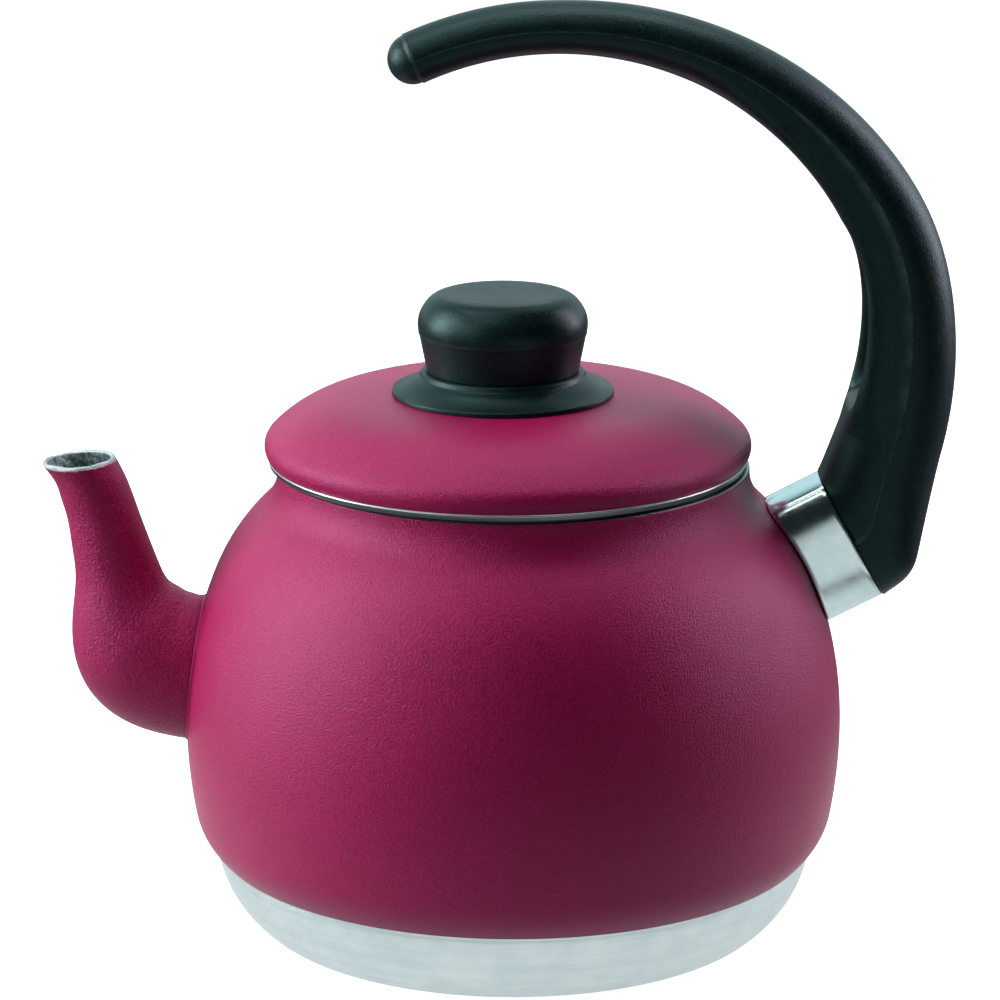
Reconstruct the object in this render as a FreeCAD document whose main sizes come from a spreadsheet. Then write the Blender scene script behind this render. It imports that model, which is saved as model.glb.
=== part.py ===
import FreeCAD, Part
import math
import os
import re

import Sketcher
from FreeCAD import Vector

# A stovetop kettle. +Z is up, the origin is the centre of the flat base, the spout
# points to -X and the handle stands on the +X side. All lengths are millimetres.

DIMENSIONS = [
    # vessel, outside, from the base up
    ("belly_radius", 90.0, "widest radius of the vessel"),
    ("belly_height", 55.1, "height of the widest place"),
    ("wall", 2.2, "vessel wall, measured level"),
    ("base_thickness", 5.0, "floor of the vessel"),
    ("floor_radius", 60.0, "flat inside of the floor"),
    ("band_height", 21.2, "top of the bare turned base band"),
    ("band_inset", 7.7, "band top inside the widest radius"),
    ("base_inset", 12.1, "flat base inside the band top"),
    ("band_curve", 29.5, "radius of the band's outline"),
    ("flank_curve", 17.3, "radius of the turn above the band"),
    ("flank_inset", 2.2, "lower flank inside the widest radius"),
    ("flank_drop", 24.4, "lower flank below the widest place"),
    ("shoulder_inset", 8.7, "shoulder inside the widest radius"),
    ("shoulder_rise", 42.8, "shoulder above the widest place"),
    ("throat_step", 4.1, "foot of the neck outside the neck"),
    ("throat_rise", 18.8, "foot of the neck above the shoulder"),
    ("neck_radius", 64.1, "outside of the neck and mouth rim"),
    ("neck_rise", 10.9, "mouth rim above the foot of the neck"),
    # spout
    ("spout_root_height", 69.5, "centre of the spout's root"),
    ("spout_root_depth", 1.15, "root centre inside the widest radius"),
    ("spout_root_lean", 5.9, "lean of the root face, degrees"),
    ("spout_root_tall", 40.25, "height of the root's oval"),
    ("spout_root_wide", 34.0, "width of the root's oval"),
    ("spout_mouth_width", 19.86, "outside of the spout's mouth"),
    ("spout_reach", 29.25, "mouth centre out from the root centre"),
    ("spout_rise", 58.5, "mouth centre above the root centre"),
    ("spout_root_wall", 3.2, "casting wall at the root"),
    ("spout_mouth_wall", 1.3, "casting wall at the mouth"),
    ("spigot_wall", 1.7, "wall of the part that passes through the vessel"),
    ("spigot_lip", 2.6, "rolled lip round the hole inside the vessel"),
    ("spigot_lip_thickness", 1.2, "thickness of that lip"),
    ("root_collar_step", 0.3, "collar outside the root's oval, all round"),
    ("root_collar_height", 0.6, "collar, out from the vessel"),
    # handle sleeve, bracket and fixings, along the sleeve's axis
    ("handle_out", 2.35, "grip face centre outside the widest radius"),
    ("handle_up", 52.75, "grip face centre above the widest place"),
    ("sleeve_rake", 23.4, "sleeve axis above level, degrees"),
    ("face_rake", 28.7, "grip face's normal above level, degrees"),
    ("sleeve_tall", 39.6, "oval sleeve, height"),
    ("sleeve_wide", 25.4, "oval sleeve, width"),
    ("sleeve_wall", 1.5, "wall of the sleeve"),
    ("sleeve_length", 16.7, "sleeve, grip face to its square-cut top"),
    ("foot_back", 8.0, "grip face to the flat top of the bracket's foot"),
    ("bracket_play", 0.8, "bracket inside the sleeve, all round"),
    ("boss_radius", 6.5, "bracket's boss"),
    ("boss_reach", 7.0, "boss, past the grip face into the heel"),
    ("rivet_radius", 2.0, "rivet shank"),
    ("rivet_head_radius", 3.8, "rivet heads, inside the vessel"),
    ("rivet_head_height", 1.8, "rivet heads"),
    ("rivet_spacing", 23.0, "between the two rivets"),
    ("grip_screw_radius", 2.5, "handle screw's shank"),
    ("grip_screw_head_radius", 4.6, "handle screw's head"),
    ("grip_screw_head_height", 2.5, "handle screw's head"),
    ("grip_screw_floor", 1.7, "bracket's foot between its top and the washer"),
    ("grip_screw_engage", 9.0, "screw inside the grip's insert"),
    ("grip_washer_radius", 5.2, "washer under that head"),
    ("washer_thickness", 1.0, "both washers"),
    ("recess_radius", 5.8, "recess for that head in the bracket's foot"),
    # grip, a bow round one centre
    ("bow_centre_x", 12.0, "centre of the bow's inside"),
    ("bow_centre_up", 97.8, "centre of the bow above the widest place"),
    ("bow_radius", 86.3, "inside of the bow"),
    ("bow_thickness", 14.1, "grip at the top"),
    ("heel_thickness", 29.3, "grip where the bow meets the heel"),
    ("grip_width", 26.0, "grip's width at the heel"),
    ("tip_width", 17.0, "grip's width at the tip"),
    ("tip_angle", 114.5, "bow's end from level, degrees"),
    ("heel_angle", -12.3, "bow's start from level, degrees"),
    ("heel_swell", 1.38, "how late the thickness grows towards the heel, as a power"),
    ("bow_tuck", 0.265, "inside of the bow drawn in per degree, low down"),
    ("tuck_angle", 22.0, "where that starts, degrees"),
    ("heel_round", 13.3, "how far the heel's underside runs on square to its face"),
    ("heel_drop", 31.5, "how far the back of the heel keeps the bow's line"),
    ("inner_power", 5.0, "shape of the grip's inner half at the heel; 2 is an ellipse"),
    ("inner_power_end", 70.0, "where the inner half is an ellipse again, degrees"),
    ("tip_step", 0.35, "rounded tip inside the bow's end, all round"),
    ("tip_reach", 6.7, "how far the rounded tip stands out"),
    ("face_margin", 0.35, "grip face past the sleeve, above and below"),
    ("channel_width", 16.0, "hollow on the grip's inner side"),
    ("channel_depth", 9.0, "depth of that hollow"),
    ("channel_start", -7.0, "lower end of the hollow, degrees"),
    ("channel_end", 27.0, "upper end of the hollow, degrees"),
    ("channel_ramp", 8.5, "ramp at each of its ends, degrees"),
    # lid
    ("lid_wall", 1.8, "lid sheet"),
    ("lid_overhang", 1.9, "widest lid radius outside the neck"),
    ("lid_edge_out", 0.7, "bare lid edge outside the neck"),
    ("lid_edge_height", 1.5, "height of the bare lid edge"),
    ("lid_turn_in", 3.8, "bare lid edge turned in under the lid"),
    ("lid_swell", 4.8, "widest place above the lid's lower face"),
    ("lid_brow_in", 1.1, "brow inside the widest lid radius"),
    ("lid_brow_up", 3.0, "brow above the widest place"),
    ("lid_slope_in", 6.9, "slope point inside the widest lid radius"),
    ("lid_slope_up", 7.8, "slope point above the widest place"),
    ("lid_crown_in", 21.0, "crown edge inside the widest lid radius"),
    ("lid_crown_up", 13.0, "crown edge above the widest place"),
    ("lid_seat_radius", 31.6, "flat top that carries the knob flange"),
    ("lid_seat_up", 13.8, "flat top above the widest place"),
    ("skirt_sheet", 0.8, "sheet of the locating ring"),
    ("skirt_play", 1.8, "ring inside the neck, all round"),
    ("lid_rest", 1.5, "how far the lid lies towards the spout within that play"),
    ("knob_rest", 1.4, "how far the knob lies towards the spout in the lid's screw hole"),
    ("skirt_depth", 9.5, "ring below the mouth rim"),
    ("skirt_seat", 1.7, "width of the ring's seat on the rim"),
    # knob
    ("flange_radius", 30.0, "knob flange"),
    ("flange_rim", 1.3, "edge thickness of the flange"),
    ("flange_cone_radius", 24.0, "foot of the flange's collar"),
    ("flange_cone_up", 4.6, "foot of the collar above the lid"),
    ("flange_curve", 14.0, "hollow of the flange's upper side"),
    ("collar_step", 0.6, "collar top outside the knob's foot"),
    ("flange_height", 6.4, "collar top above the lid"),
    ("knob_foot_radius", 20.6, "knob where it stands on the flange"),
    ("knob_radius", 22.95, "widest radius of the knob"),
    ("knob_part_in", 0.3, "parting line inside the widest radius"),
    ("knob_part_up", 10.4, "parting line above the flange"),
    ("knob_waist_up", 12.8, "widest place above the flange"),
    ("knob_height", 21.1, "knob top above the flange"),
    ("knob_brow_in", 1.95, "brow inside the widest radius"),
    ("knob_brow_down", 3.05, "brow below the knob top"),
    ("knob_flat_radius", 14.5, "flat top of the knob"),
    ("insert_radius", 4.5, "both brass inserts"),
    ("insert_length", 11.0, "both brass inserts"),
    ("knob_screw_radius", 2.5, "knob screw's shank"),
    ("knob_screw_head_radius", 4.8, "knob screw's head"),
    ("knob_screw_head_height", 2.8, "knob screw's head"),
    ("knob_screw_engage", 9.0, "screw inside the insert"),
    ("knob_washer_radius", 7.0, "washer under the lid"),
    # fits
    ("hole_clearance", 0.3, "radial play of a shank in its hole"),
    ("seat_gap", 0.3, "shaped ends stand off the curved wall"),
]

# The spout from root to mouth: share of the reach, share of the rise, lean of the
# section in degrees and how much of the root's size it still has. Where that is below
# nothing the tube is round and a little slimmer than its lip.
SPOUT_STATIONS = [
    (0.342, 0.056, 62.8, 0.988),
    (0.520, 0.133, 49.7, 0.898),
    (0.631, 0.231, 38.2, 0.674),
    (0.667, 0.347, 25.4, 0.398),
    (0.677, 0.478, 13.5, 0.156),
    (0.727, 0.608, 8.0, 0.054),
    (0.798, 0.759, 8.0, -0.030),
    (0.889, 0.890, 8.0, -0.030),
    (1.000, 1.000, 4.0, 0.000),
]

doc = FreeCAD.newDocument("Kettle")
sheet = doc.addObject("Spreadsheet::Sheet", "Dims")
for line, (alias, number, note) in enumerate(DIMENSIONS, start=1):
    sheet.set("A%d" % line, note)
    sheet.set("B%d" % line, str(number))
    sheet.setAlias("B%d" % line, alias)
doc.recompute()

ALIASES = {alias for alias, number, note in DIMENSIONS}
PIECES = []


def bound(formula):
    """A formula in plain alias names, as an expression on the sheet."""
    return re.sub(r"[a-z_]{3,}",
                  lambda m: "Dims." + m.group() if m.group() in ALIASES else m.group(), formula)


def value(formula):
    """The number that a formula gives now."""
    return float(sheet.evalExpression(bound(formula)))


def piece(item, name):
    """Mark a finished object as one sub-part; its label names its file."""
    item.Label = name
    PIECES.append(item)
    return item


# ---- heights that several pieces share, as formulas on the sheet

BAND_RADIUS = "(belly_radius - band_inset)"
SHOULDER_HEIGHT = "(belly_height + shoulder_rise)"
THROAT_HEIGHT = "(belly_height + shoulder_rise + throat_rise)"
RIM_HEIGHT = "(belly_height + shoulder_rise + throat_rise + neck_rise)"
LID_BASE = "(%s + skirt_sheet)" % RIM_HEIGHT
LID_RADIUS = "(neck_radius + lid_overhang)"
LID_WIDE = "(%s + lid_swell)" % LID_BASE
LID_TOP = "(%s + lid_seat_up)" % LID_WIDE
FLANGE_TOP = "(%s + flange_height)" % LID_TOP


# ---- sketches

def arc_centre(rule, a, b, heading):
    """Centre of an arc from a to b that keeps the rule."""
    if rule == "level":
        return Vector(((b.x**2 - a.x**2) + (b.y - a.y)**2) / (2 * (b.x - a.x)), a.y, 0)
    if rule == "level_end":
        return arc_centre("level", b, a, heading)
    if rule == "plumb":
        return Vector(a.x, ((b.y**2 - a.y**2) + (b.x - a.x)**2) / (2 * (b.y - a.y)), 0)
    if rule == "plumb_end":
        return arc_centre("plumb", b, a, heading)
    chord = b - a
    if rule == "tangent":
        normal = Vector(-heading.y, heading.x, 0)
        return a + normal * (chord.dot(chord) / (2 * chord.dot(normal)))
    radius, side = value(rule[0]), rule[1]
    normal = Vector(-chord.y, chord.x, 0).normalize() * side
    return (a + b) * 0.5 + normal * math.sqrt(radius**2 - chord.dot(chord) / 4)


def draw(sketch, corners, bends):
    """A closed outline. Corners are (x, y) formulas; bends turn an edge into an arc."""
    points = [Vector(value(x), value(y), 0) for x, y in corners]
    heading, ends = Vector(0, 1, 0), []
    for i, a in enumerate(points):
        b, rule = points[(i + 1) % len(points)], bends.get(i)
        if rule is None:
            sketch.addGeometry(Part.LineSegment(a, b))
            heading = (b - a).normalize()
            ends.append((1, 2))
            continue
        centre = arc_centre(rule, a, b, heading)
        start, stop = a - centre, b - centre
        turn = math.copysign(1, start.cross(stop).z)
        angles = [math.atan2(v.y, v.x) for v in (start, stop)]
        if turn < 0:
            angles.reverse()
        circle = Part.Circle(centre, Vector(0, 0, 1), start.Length)
        sketch.addGeometry(Part.ArcOfCircle(circle, *angles))
        heading = (Vector(0, 0, turn).cross(stop)).normalize()
        ends.append((1, 2) if turn > 0 else (2, 1))
    for i, (x, y) in enumerate(corners):
        follow = (i + 1) % len(corners)
        join = "Tangent" if bends.get(follow) == "tangent" else "Coincident"
        sketch.addConstraint(Sketcher.Constraint(join, i, ends[i][1], follow, ends[follow][0]))
        for kind, formula, axis in (("DistanceX", x, -2), ("DistanceY", y, -1)):
            if formula == "0":
                sketch.addConstraint(Sketcher.Constraint("PointOnObject", i, ends[i][0], axis))
            else:
                place = sketch.addConstraint(
                    Sketcher.Constraint(kind, -1, 1, i, ends[i][0], value(formula)))
                sketch.setExpression("Constraints[%d]" % place, bound(formula))
        rule = bends.get(i)
        if rule in ("level", "level_end", "plumb", "plumb_end"):
            kind = "Horizontal" if rule.startswith("level") else "Vertical"
            end = ends[i][1] if rule.endswith("_end") else ends[i][0]
            sketch.addConstraint(Sketcher.Constraint(kind, i, 3, i, end))
        elif isinstance(rule, tuple):
            place = sketch.addConstraint(Sketcher.Constraint("Radius", i, value(rule[0])))
            sketch.setExpression("Constraints[%d]" % place, bound(rule[0]))


def origin_plane(body, role):
    return next(f for f in body.Origin.OriginFeatures if f.Role == role)


def body_sketch(body, role, name):
    sketch = body.newObject("Sketcher::SketchObject", name)
    sketch.AttachmentSupport = [(origin_plane(body, role), "")]
    sketch.MapMode = "FlatFace"
    return sketch


def turned_body(name, corners, bends, bores=()):
    """A body turned round its own upright axis, with (radius, low, high) bores on it."""
    body = doc.addObject("PartDesign::Body", name)
    sketch = body_sketch(body, "XZ_Plane", name + "_outline")
    draw(sketch, corners, bends)
    turned = body.newObject("PartDesign::Revolution", name + "_turned")
    turned.Profile = sketch
    turned.ReferenceAxis = (sketch, ["V_Axis"])
    turned.Angle = 360
    for number, (radius, low, high) in enumerate(bores):
        hollow = body_sketch(body, "XZ_Plane", "%s_bore_outline%d" % (name, number))
        draw(hollow, [("0", low), (radius, low), (radius, high), ("0", high)], {})
        groove = body.newObject("PartDesign::Groove", "%s_bore%d" % (name, number))
        groove.Profile = hollow
        groove.ReferenceAxis = (hollow, ["V_Axis"])
        groove.Angle = 360
    return body


# ---- vessel

def vessel_outline(inset, low_corners, low_bends):
    """Outline of the vessel, drawn in level by inset, above the three given low corners."""
    corners = low_corners + [
        ("belly_radius - flank_inset - %s" % inset, "belly_height - flank_drop"),
        ("belly_radius - %s" % inset, "belly_height"),
        ("belly_radius - shoulder_inset - %s" % inset, SHOULDER_HEIGHT),
        ("neck_radius + throat_step - %s" % inset, THROAT_HEIGHT),
        ("neck_radius - %s" % inset, "%s - neck_rise / 8" % RIM_HEIGHT),
        ("neck_radius - %s" % inset, RIM_HEIGHT),
        ("0", RIM_HEIGHT),
    ]
    bends = dict(low_bends)
    bends.update({2: ("flank_curve", 1), 3: "level_end", 4: "level", 5: "tangent",
                  6: "level_end"})
    return corners, bends


def outside_outline(inset):
    """The vessel's outside, with its flat base and turned band."""
    low = [("0", "0"), ("%s - base_inset - %s" % (BAND_RADIUS, inset), "0"),
           ("%s - %s" % (BAND_RADIUS, inset), "band_height")]
    return vessel_outline(inset, low, {1: ("band_curve", 1)})


def inside_outline():
    """The vessel's inside, with a flat floor that turns up into the wall."""
    low = [("0", "base_thickness"), ("floor_radius", "base_thickness"),
           ("%s - wall" % BAND_RADIUS, "band_height")]
    return vessel_outline("wall", low, {1: "plumb"})


def vessel_form(name, inset):
    """A solid of the vessel's outside, drawn in level by inset, to shape other pieces."""
    outline = doc.addObject("Sketcher::SketchObject", name + "_outline")
    outline.Placement = FreeCAD.Placement(Vector(), FreeCAD.Rotation(Vector(1, 0, 0), 90))
    draw(outline, *outside_outline(inset))
    form = doc.addObject("Part::Revolution", name)
    form.Source = outline
    form.Axis = Vector(0, 0, 1)
    form.Angle = 360
    form.Solid = True
    return form


def cut(name, base, *tools):
    """base less the tools."""
    for number, tool in enumerate(tools):
        last = number == len(tools) - 1
        result = doc.addObject("Part::Cut", name if last else "%s_cut%d" % (name, number))
        result.Base, result.Tool = base, tool
        base = result
    return base


def common(name, base, tool):
    result = doc.addObject("Part::Common", name)
    result.Base, result.Tool = base, tool
    return result


def fuse(name, *shapes):
    result = doc.addObject("Part::MultiFuse", name)
    result.Shapes = list(shapes)
    return result


# ---- places on tilted axes

class Axis:
    """A tilted axis in the XZ plane: an origin, given as formulas, and its rise from +X."""

    def __init__(self, x, z, rake):
        self.x, self.z, self.rake = x, z, "(%s)" % rake

    def place(self, item, along, up, turn):
        """Put an item at (along, up) on the axis; turn is its own angle before that."""
        item.Placement = FreeCAD.Placement(Vector(), FreeCAD.Rotation(Vector(0, 1, 0), 0))
        rules = {
            "Placement.Base.x": "%s + (%s) * cos(ANGLE) - (%s) * sin(ANGLE)" % (
                self.x, along, up),
            "Placement.Base.z": "%s + (%s) * sin(ANGLE) + (%s) * cos(ANGLE)" % (
                self.z, along, up),
            "Placement.Rotation.Angle": "%s - ANGLE" % turn,
        }
        for target, rule in rules.items():
            item.setExpression(target, bound(rule.replace("ANGLE", self.rake)))
        return item

    def rod(self, name, radius, low, high, up="0"):
        """A round rod along the axis."""
        item = doc.addObject("Part::Cylinder", name)
        item.setExpression("Radius", bound(radius))
        item.setExpression("Height", bound("(%s) - (%s)" % (high, low)))
        return self.place(item, low, up, "90")

    def oval(self, name, tall, wide, along):
        """An oval outline square to the axis; tall and wide are full sizes."""
        item = doc.addObject("Part::Ellipse", name)
        item.setExpression("MajorRadius", bound("(%s) / 2" % tall))
        item.setExpression("MinorRadius", bound("(%s) / 2" % wide))
        return self.place(item, along, "0", "(0 - 90)")

    def oval_rod(self, name, tall, wide, low, high):
        """An oval rod along the axis; tall and wide are full sizes."""
        item = doc.addObject("Part::Extrusion", name)
        item.Base = self.oval(name + "_outline", tall, wide, low)
        item.DirMode = "Custom"
        item.setExpression("Dir.x", bound("cos%s" % self.rake))
        item.setExpression("Dir.z", bound("sin%s" % self.rake))
        item.setExpression("LengthFwd", bound("(%s) - (%s)" % (high, low)))
        item.Solid = True
        return item

    def beyond(self, name, along, size):
        """A block that holds everything past one place on the axis."""
        item = doc.addObject("Part::Box", name)
        item.setExpression("Length", bound(size))
        item.setExpression("Width", bound("2 * %s" % size))
        item.setExpression("Height", bound("2 * %s" % size))
        self.place(item, along, "0 - %s" % size, "0")
        item.setExpression("Placement.Base.y", bound("0 - %s" % size))
        return item


SPOUT_X = "spout_root_depth - belly_radius"
ROOT = Axis(SPOUT_X, "spout_root_height", "180 - spout_root_lean")
HANDLE_X = "belly_radius + handle_out"
HANDLE_Z = "belly_height + handle_up"
HANDLE = Axis(HANDLE_X, HANDLE_Z, "sleeve_rake")
FACE = Axis(HANDLE_X, HANDLE_Z, "face_rake")

# Places along these axes that lie well inside the vessel, so that the vessel's own
# surfaces trim what starts there.
INSIDE_SPOUT = "(0 - belly_radius / 4)"
INSIDE_HANDLE = "(0 - sleeve_length - belly_radius / 6)"


# ---- vessel forms that shape the pieces on it

STOOD_OFF = vessel_form("form_stood_off", "(0 - seat_gap)")
INSIDE_OFF = vessel_form("form_inside_off", "(wall + seat_gap)")
COLLAR_OFF = vessel_form("form_collar_off", "(0 - seat_gap - root_collar_height)")
LIP_INSIDE = vessel_form("form_lip_inside", "(wall + seat_gap + spigot_lip_thickness)")
HEAD_INSIDE = vessel_form("form_head_inside", "(wall + seat_gap + rivet_head_height)")


# ---- vessel

PAST_COLLAR = "(spout_root_tall / 4)"
SPIGOT_TALL = "(spout_root_tall - 2 * spout_root_wall + 2 * spigot_wall)"
SPIGOT_WIDE = "(spout_root_wide - 2 * spout_root_wall + 2 * spigot_wall)"


def spigot_hole(name):
    """The clear hole for the spigot, from inside the vessel out past its collar."""
    return ROOT.oval_rod(name, "%s + 2 * seat_gap" % SPIGOT_TALL,
                         "%s + 2 * seat_gap" % SPIGOT_WIDE, INSIDE_SPOUT, PAST_COLLAR)


def rivet_rods(name, radius, low, high):
    return [HANDLE.rod(name + side, radius, low, high, up)
            for side, up in (("_upper", "rivet_spacing / 2"), ("_lower", "(0 - rivet_spacing / 2)"))]


vessel = turned_body("vessel", *outside_outline("0"))
hollow_sketch = body_sketch(vessel, "XZ_Plane", "vessel_inside_outline")
draw(hollow_sketch, *inside_outline())
hollow = vessel.newObject("PartDesign::Groove", "vessel_inside")
hollow.Profile = hollow_sketch
hollow.ReferenceAxis = (hollow_sketch, ["V_Axis"])
hollow.Angle = 360
vessel_holes = rivet_rods("wall_hole", "rivet_radius + hole_clearance", INSIDE_HANDLE,
                          "0 - foot_back")
piece(cut("body_shell", vessel, spigot_hole("wall_spout_hole"), *vessel_holes), "body_shell")


# ---- spout and its collar

def spout_section(name, station, wall):
    """One oval section of the spout, drawn in by wall."""
    reach, rise, lean, fullness = station
    item = doc.addObject("Part::Ellipse", name)
    across = "spout_root_wide" if fullness > 0 else "spout_root_tall"
    for radius, root in (("MajorRadius", "spout_root_tall"), ("MinorRadius", across)):
        item.setExpression(radius, bound("spout_mouth_width / 2 + (%s - spout_mouth_width) / 2"
                                         " * %s - %s" % (root, fullness, wall)))
    item.Placement = FreeCAD.Placement(Vector(), FreeCAD.Rotation(Vector(0, 1, 0), 0))
    item.setExpression("Placement.Base.x", bound("%s - spout_reach * %s" % (SPOUT_X, reach)))
    item.setExpression("Placement.Base.z",
                       bound("spout_root_height + spout_rise * %s" % rise))
    item.setExpression("Placement.Rotation.Angle", bound("0 - (%s)" % lean))
    return item


def spout_loft(name, walls):
    """A smooth solid through the spout's sections; walls are its insets at root and mouth."""
    root_wall, mouth_wall = walls
    stations = [(0, 0, "90 - spout_root_lean", 1)] + SPOUT_STATIONS
    sections = []
    for number, station in enumerate(stations):
        share = max(station[3], 0)
        wall = "(%s + (%s - %s) * %s)" % (mouth_wall, root_wall, mouth_wall, share)
        sections.append(spout_section("%s_section%d" % (name, number), station, wall))
    item = doc.addObject("Part::Loft", name)
    item.Sections = sections
    item.Solid = True
    return item


spout_outside = spout_loft("spout_outside", ("0", "0"))
spout_inside = spout_loft("spout_inside", ("spout_root_wall", "spout_mouth_wall"))
spout_root = ROOT.oval_rod("spout_root", "spout_root_tall", "spout_root_wide", INSIDE_SPOUT, "0")
spout_skin = cut("spout_skin", fuse("spout_form", spout_outside, spout_root), COLLAR_OFF)
spigot = ROOT.oval_rod("spigot", SPIGOT_TALL, SPIGOT_WIDE, INSIDE_SPOUT, "spigot_wall")
lip = common("spigot_lip", INSIDE_OFF, ROOT.oval_rod(
    "spigot_lip_oval", "%s + 2 * spigot_lip" % SPIGOT_TALL,
    "%s + 2 * spigot_lip" % SPIGOT_WIDE, INSIDE_SPOUT, "0"))
spigot_bore = ROOT.oval_rod(
    "spigot_bore", "spout_root_tall - 2 * spout_root_wall",
    "spout_root_wide - 2 * spout_root_wall", INSIDE_SPOUT, "spigot_wall")
spout = cut("spout", fuse("spout_mass", spout_skin, spigot, lip),
            LIP_INSIDE, spigot_bore, spout_inside)
piece(spout, "spout")

collar_ring = common("collar_ring", COLLAR_OFF, ROOT.oval_rod(
    "collar_oval", "spout_root_tall + 2 * root_collar_step",
    "spout_root_wide + 2 * root_collar_step", INSIDE_SPOUT, PAST_COLLAR))
piece(cut("spout_collar", collar_ring, STOOD_OFF, spigot_hole("collar_hole")), "spout_collar")


# ---- handle sleeve, bracket and fixings

SLEEVE_BORE_TALL = "(sleeve_tall - 2 * sleeve_wall)"
SLEEVE_BORE_WIDE = "(sleeve_wide - 2 * sleeve_wall)"
SCREW_SEAT = "(0 - foot_back - grip_screw_floor)"
SCREW_HEAD = "(%s - washer_thickness)" % SCREW_SEAT
SOCKET_END = "(boss_reach + seat_gap)"

sleeve = cut("handle_ferrule",
             HANDLE.oval_rod("sleeve_outside", "sleeve_tall", "sleeve_wide",
                             "0 - sleeve_length", "sleeve_tall / 4"),
             HANDLE.oval_rod("sleeve_bore", SLEEVE_BORE_TALL, SLEEVE_BORE_WIDE,
                             INSIDE_HANDLE, "sleeve_tall / 2"),
             FACE.beyond("sleeve_face", "0", "sleeve_tall"), STOOD_OFF)
piece(sleeve, "handle_ferrule")

foot = HANDLE.oval_rod("bracket_foot", "%s - 2 * bracket_play" % SLEEVE_BORE_TALL,
                       "%s - 2 * bracket_play" % SLEEVE_BORE_WIDE, INSIDE_HANDLE,
                       "0 - foot_back")
boss = HANDLE.rod("bracket_boss", "boss_radius", "0 - foot_back", "boss_reach")
bracket = cut("handle_bracket", fuse("bracket_mass", foot, boss), STOOD_OFF,
              HANDLE.rod("bracket_bore", "grip_screw_radius + hole_clearance",
                         INSIDE_HANDLE, "boss_reach"),
              HANDLE.rod("bracket_recess", "recess_radius", INSIDE_HANDLE, SCREW_SEAT),
              *rivet_rods("bracket_hole", "rivet_radius + hole_clearance",
                          INSIDE_HANDLE, "0 - foot_back"))
piece(bracket, "handle_bracket")

shanks = rivet_rods("rivet_shank", "rivet_radius", INSIDE_HANDLE, "0 - foot_back")
heads = rivet_rods("rivet_head", "rivet_head_radius", INSIDE_HANDLE, "0 - foot_back")
trimmed = common("rivet_heads", INSIDE_OFF, fuse("rivet_head_rods", *heads))
piece(cut("bracket_rivets", fuse("rivet_mass", trimmed, *shanks), HEAD_INSIDE),
      "bracket_rivets")

piece(fuse("handle_screw",
           HANDLE.rod("handle_screw_head", "grip_screw_head_radius",
                      "%s - grip_screw_head_height" % SCREW_HEAD, SCREW_HEAD),
           HANDLE.rod("handle_screw_shank", "grip_screw_radius", SCREW_HEAD,
                      "%s + grip_screw_engage" % SOCKET_END)), "handle_screw")
piece(cut("handle_washer",
          HANDLE.rod("handle_washer_disc", "grip_washer_radius", SCREW_HEAD, SCREW_SEAT),
          HANDLE.rod("handle_washer_hole", "grip_screw_radius + hole_clearance",
                     SCREW_HEAD, SCREW_SEAT)), "handle_washer")
piece(cut("handle_insert",
          HANDLE.rod("handle_insert_barrel", "insert_radius", SOCKET_END,
                     "%s + insert_length" % SOCKET_END),
          HANDLE.rod("handle_insert_bore", "grip_screw_radius + hole_clearance", SOCKET_END,
                     "%s + insert_length" % SOCKET_END)), "handle_insert")


# ---- grip: ovals from the heel's face, round the bow to its rounded tip

SIZES = {alias: value(alias) for alias in ALIASES}
BOW_CENTRE = Vector(SIZES["bow_centre_x"], 0, SIZES["belly_height"] + SIZES["bow_centre_up"])
FACE_CENTRE = Vector(value(HANDLE_X), 0, value(HANDLE_Z))


def ray(degrees):
    """The unit direction at this angle from level, in the XZ plane."""
    angle = math.radians(degrees)
    return Vector(math.cos(angle), 0, math.sin(angle))


def bow_inside(degrees):
    """Radius of the bow's inside, drawn in towards the heel."""
    low = max(0, SIZES["tuck_angle"] - degrees)
    return SIZES["bow_radius"] - SIZES["bow_tuck"] * low


def bow_thickness(degrees):
    """The grip's thickness: even past its top, swelling towards the heel."""
    share = max(0, (90 - degrees) / (90 - SIZES["heel_angle"]))
    return (SIZES["bow_thickness"]
            + (SIZES["heel_thickness"] - SIZES["bow_thickness"]) * share ** SIZES["heel_swell"])


def bow_width(degrees):
    share = (SIZES["tip_angle"] - degrees) / (SIZES["tip_angle"] - SIZES["heel_angle"])
    return SIZES["tip_width"] + (SIZES["grip_width"] - SIZES["tip_width"]) * share


def inner_power(degrees):
    """Shape of the section's inner half: fuller than an ellipse near the heel."""
    span = SIZES["inner_power_end"] - SIZES["heel_angle"]
    share = min(1, max(0, (SIZES["inner_power_end"] - degrees) / span))
    return 2 + (SIZES["inner_power"] - 2) * share


def oval_between(inner, outer, width, power):
    """An oval wire from inner to outer, as wide as width along Y, fuller on the inner side."""
    across, centre = (outer - inner) * 0.5, (outer + inner) * 0.5
    sideways, steps, halves = Vector(0, 1, 0), 12, []
    for first in (0, steps):
        points = []
        for step in range(first, first + steps + 1):
            turn = math.pi * step / steps
            out, side = math.cos(turn), math.sin(turn)
            shape = 2 / (power if out < 0 else 2)
            out, side = [math.copysign(abs(v) ** shape, v) for v in (out, side)]
            points.append(centre + across * out + sideways * (width / 2 * side))
        heading = sideways if first == 0 else sideways * -1
        curve = Part.BSplineCurve()
        curve.interpolate(Points=points, InitialTangent=heading, FinalTangent=heading * -1)
        halves.append(curve.toShape())
    return Part.Wire(halves)


def bow_points(degrees):
    radius = bow_inside(degrees)
    return (BOW_CENTRE + ray(degrees) * radius,
            BOW_CENTRE + ray(degrees) * (radius + bow_thickness(degrees)))


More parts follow.
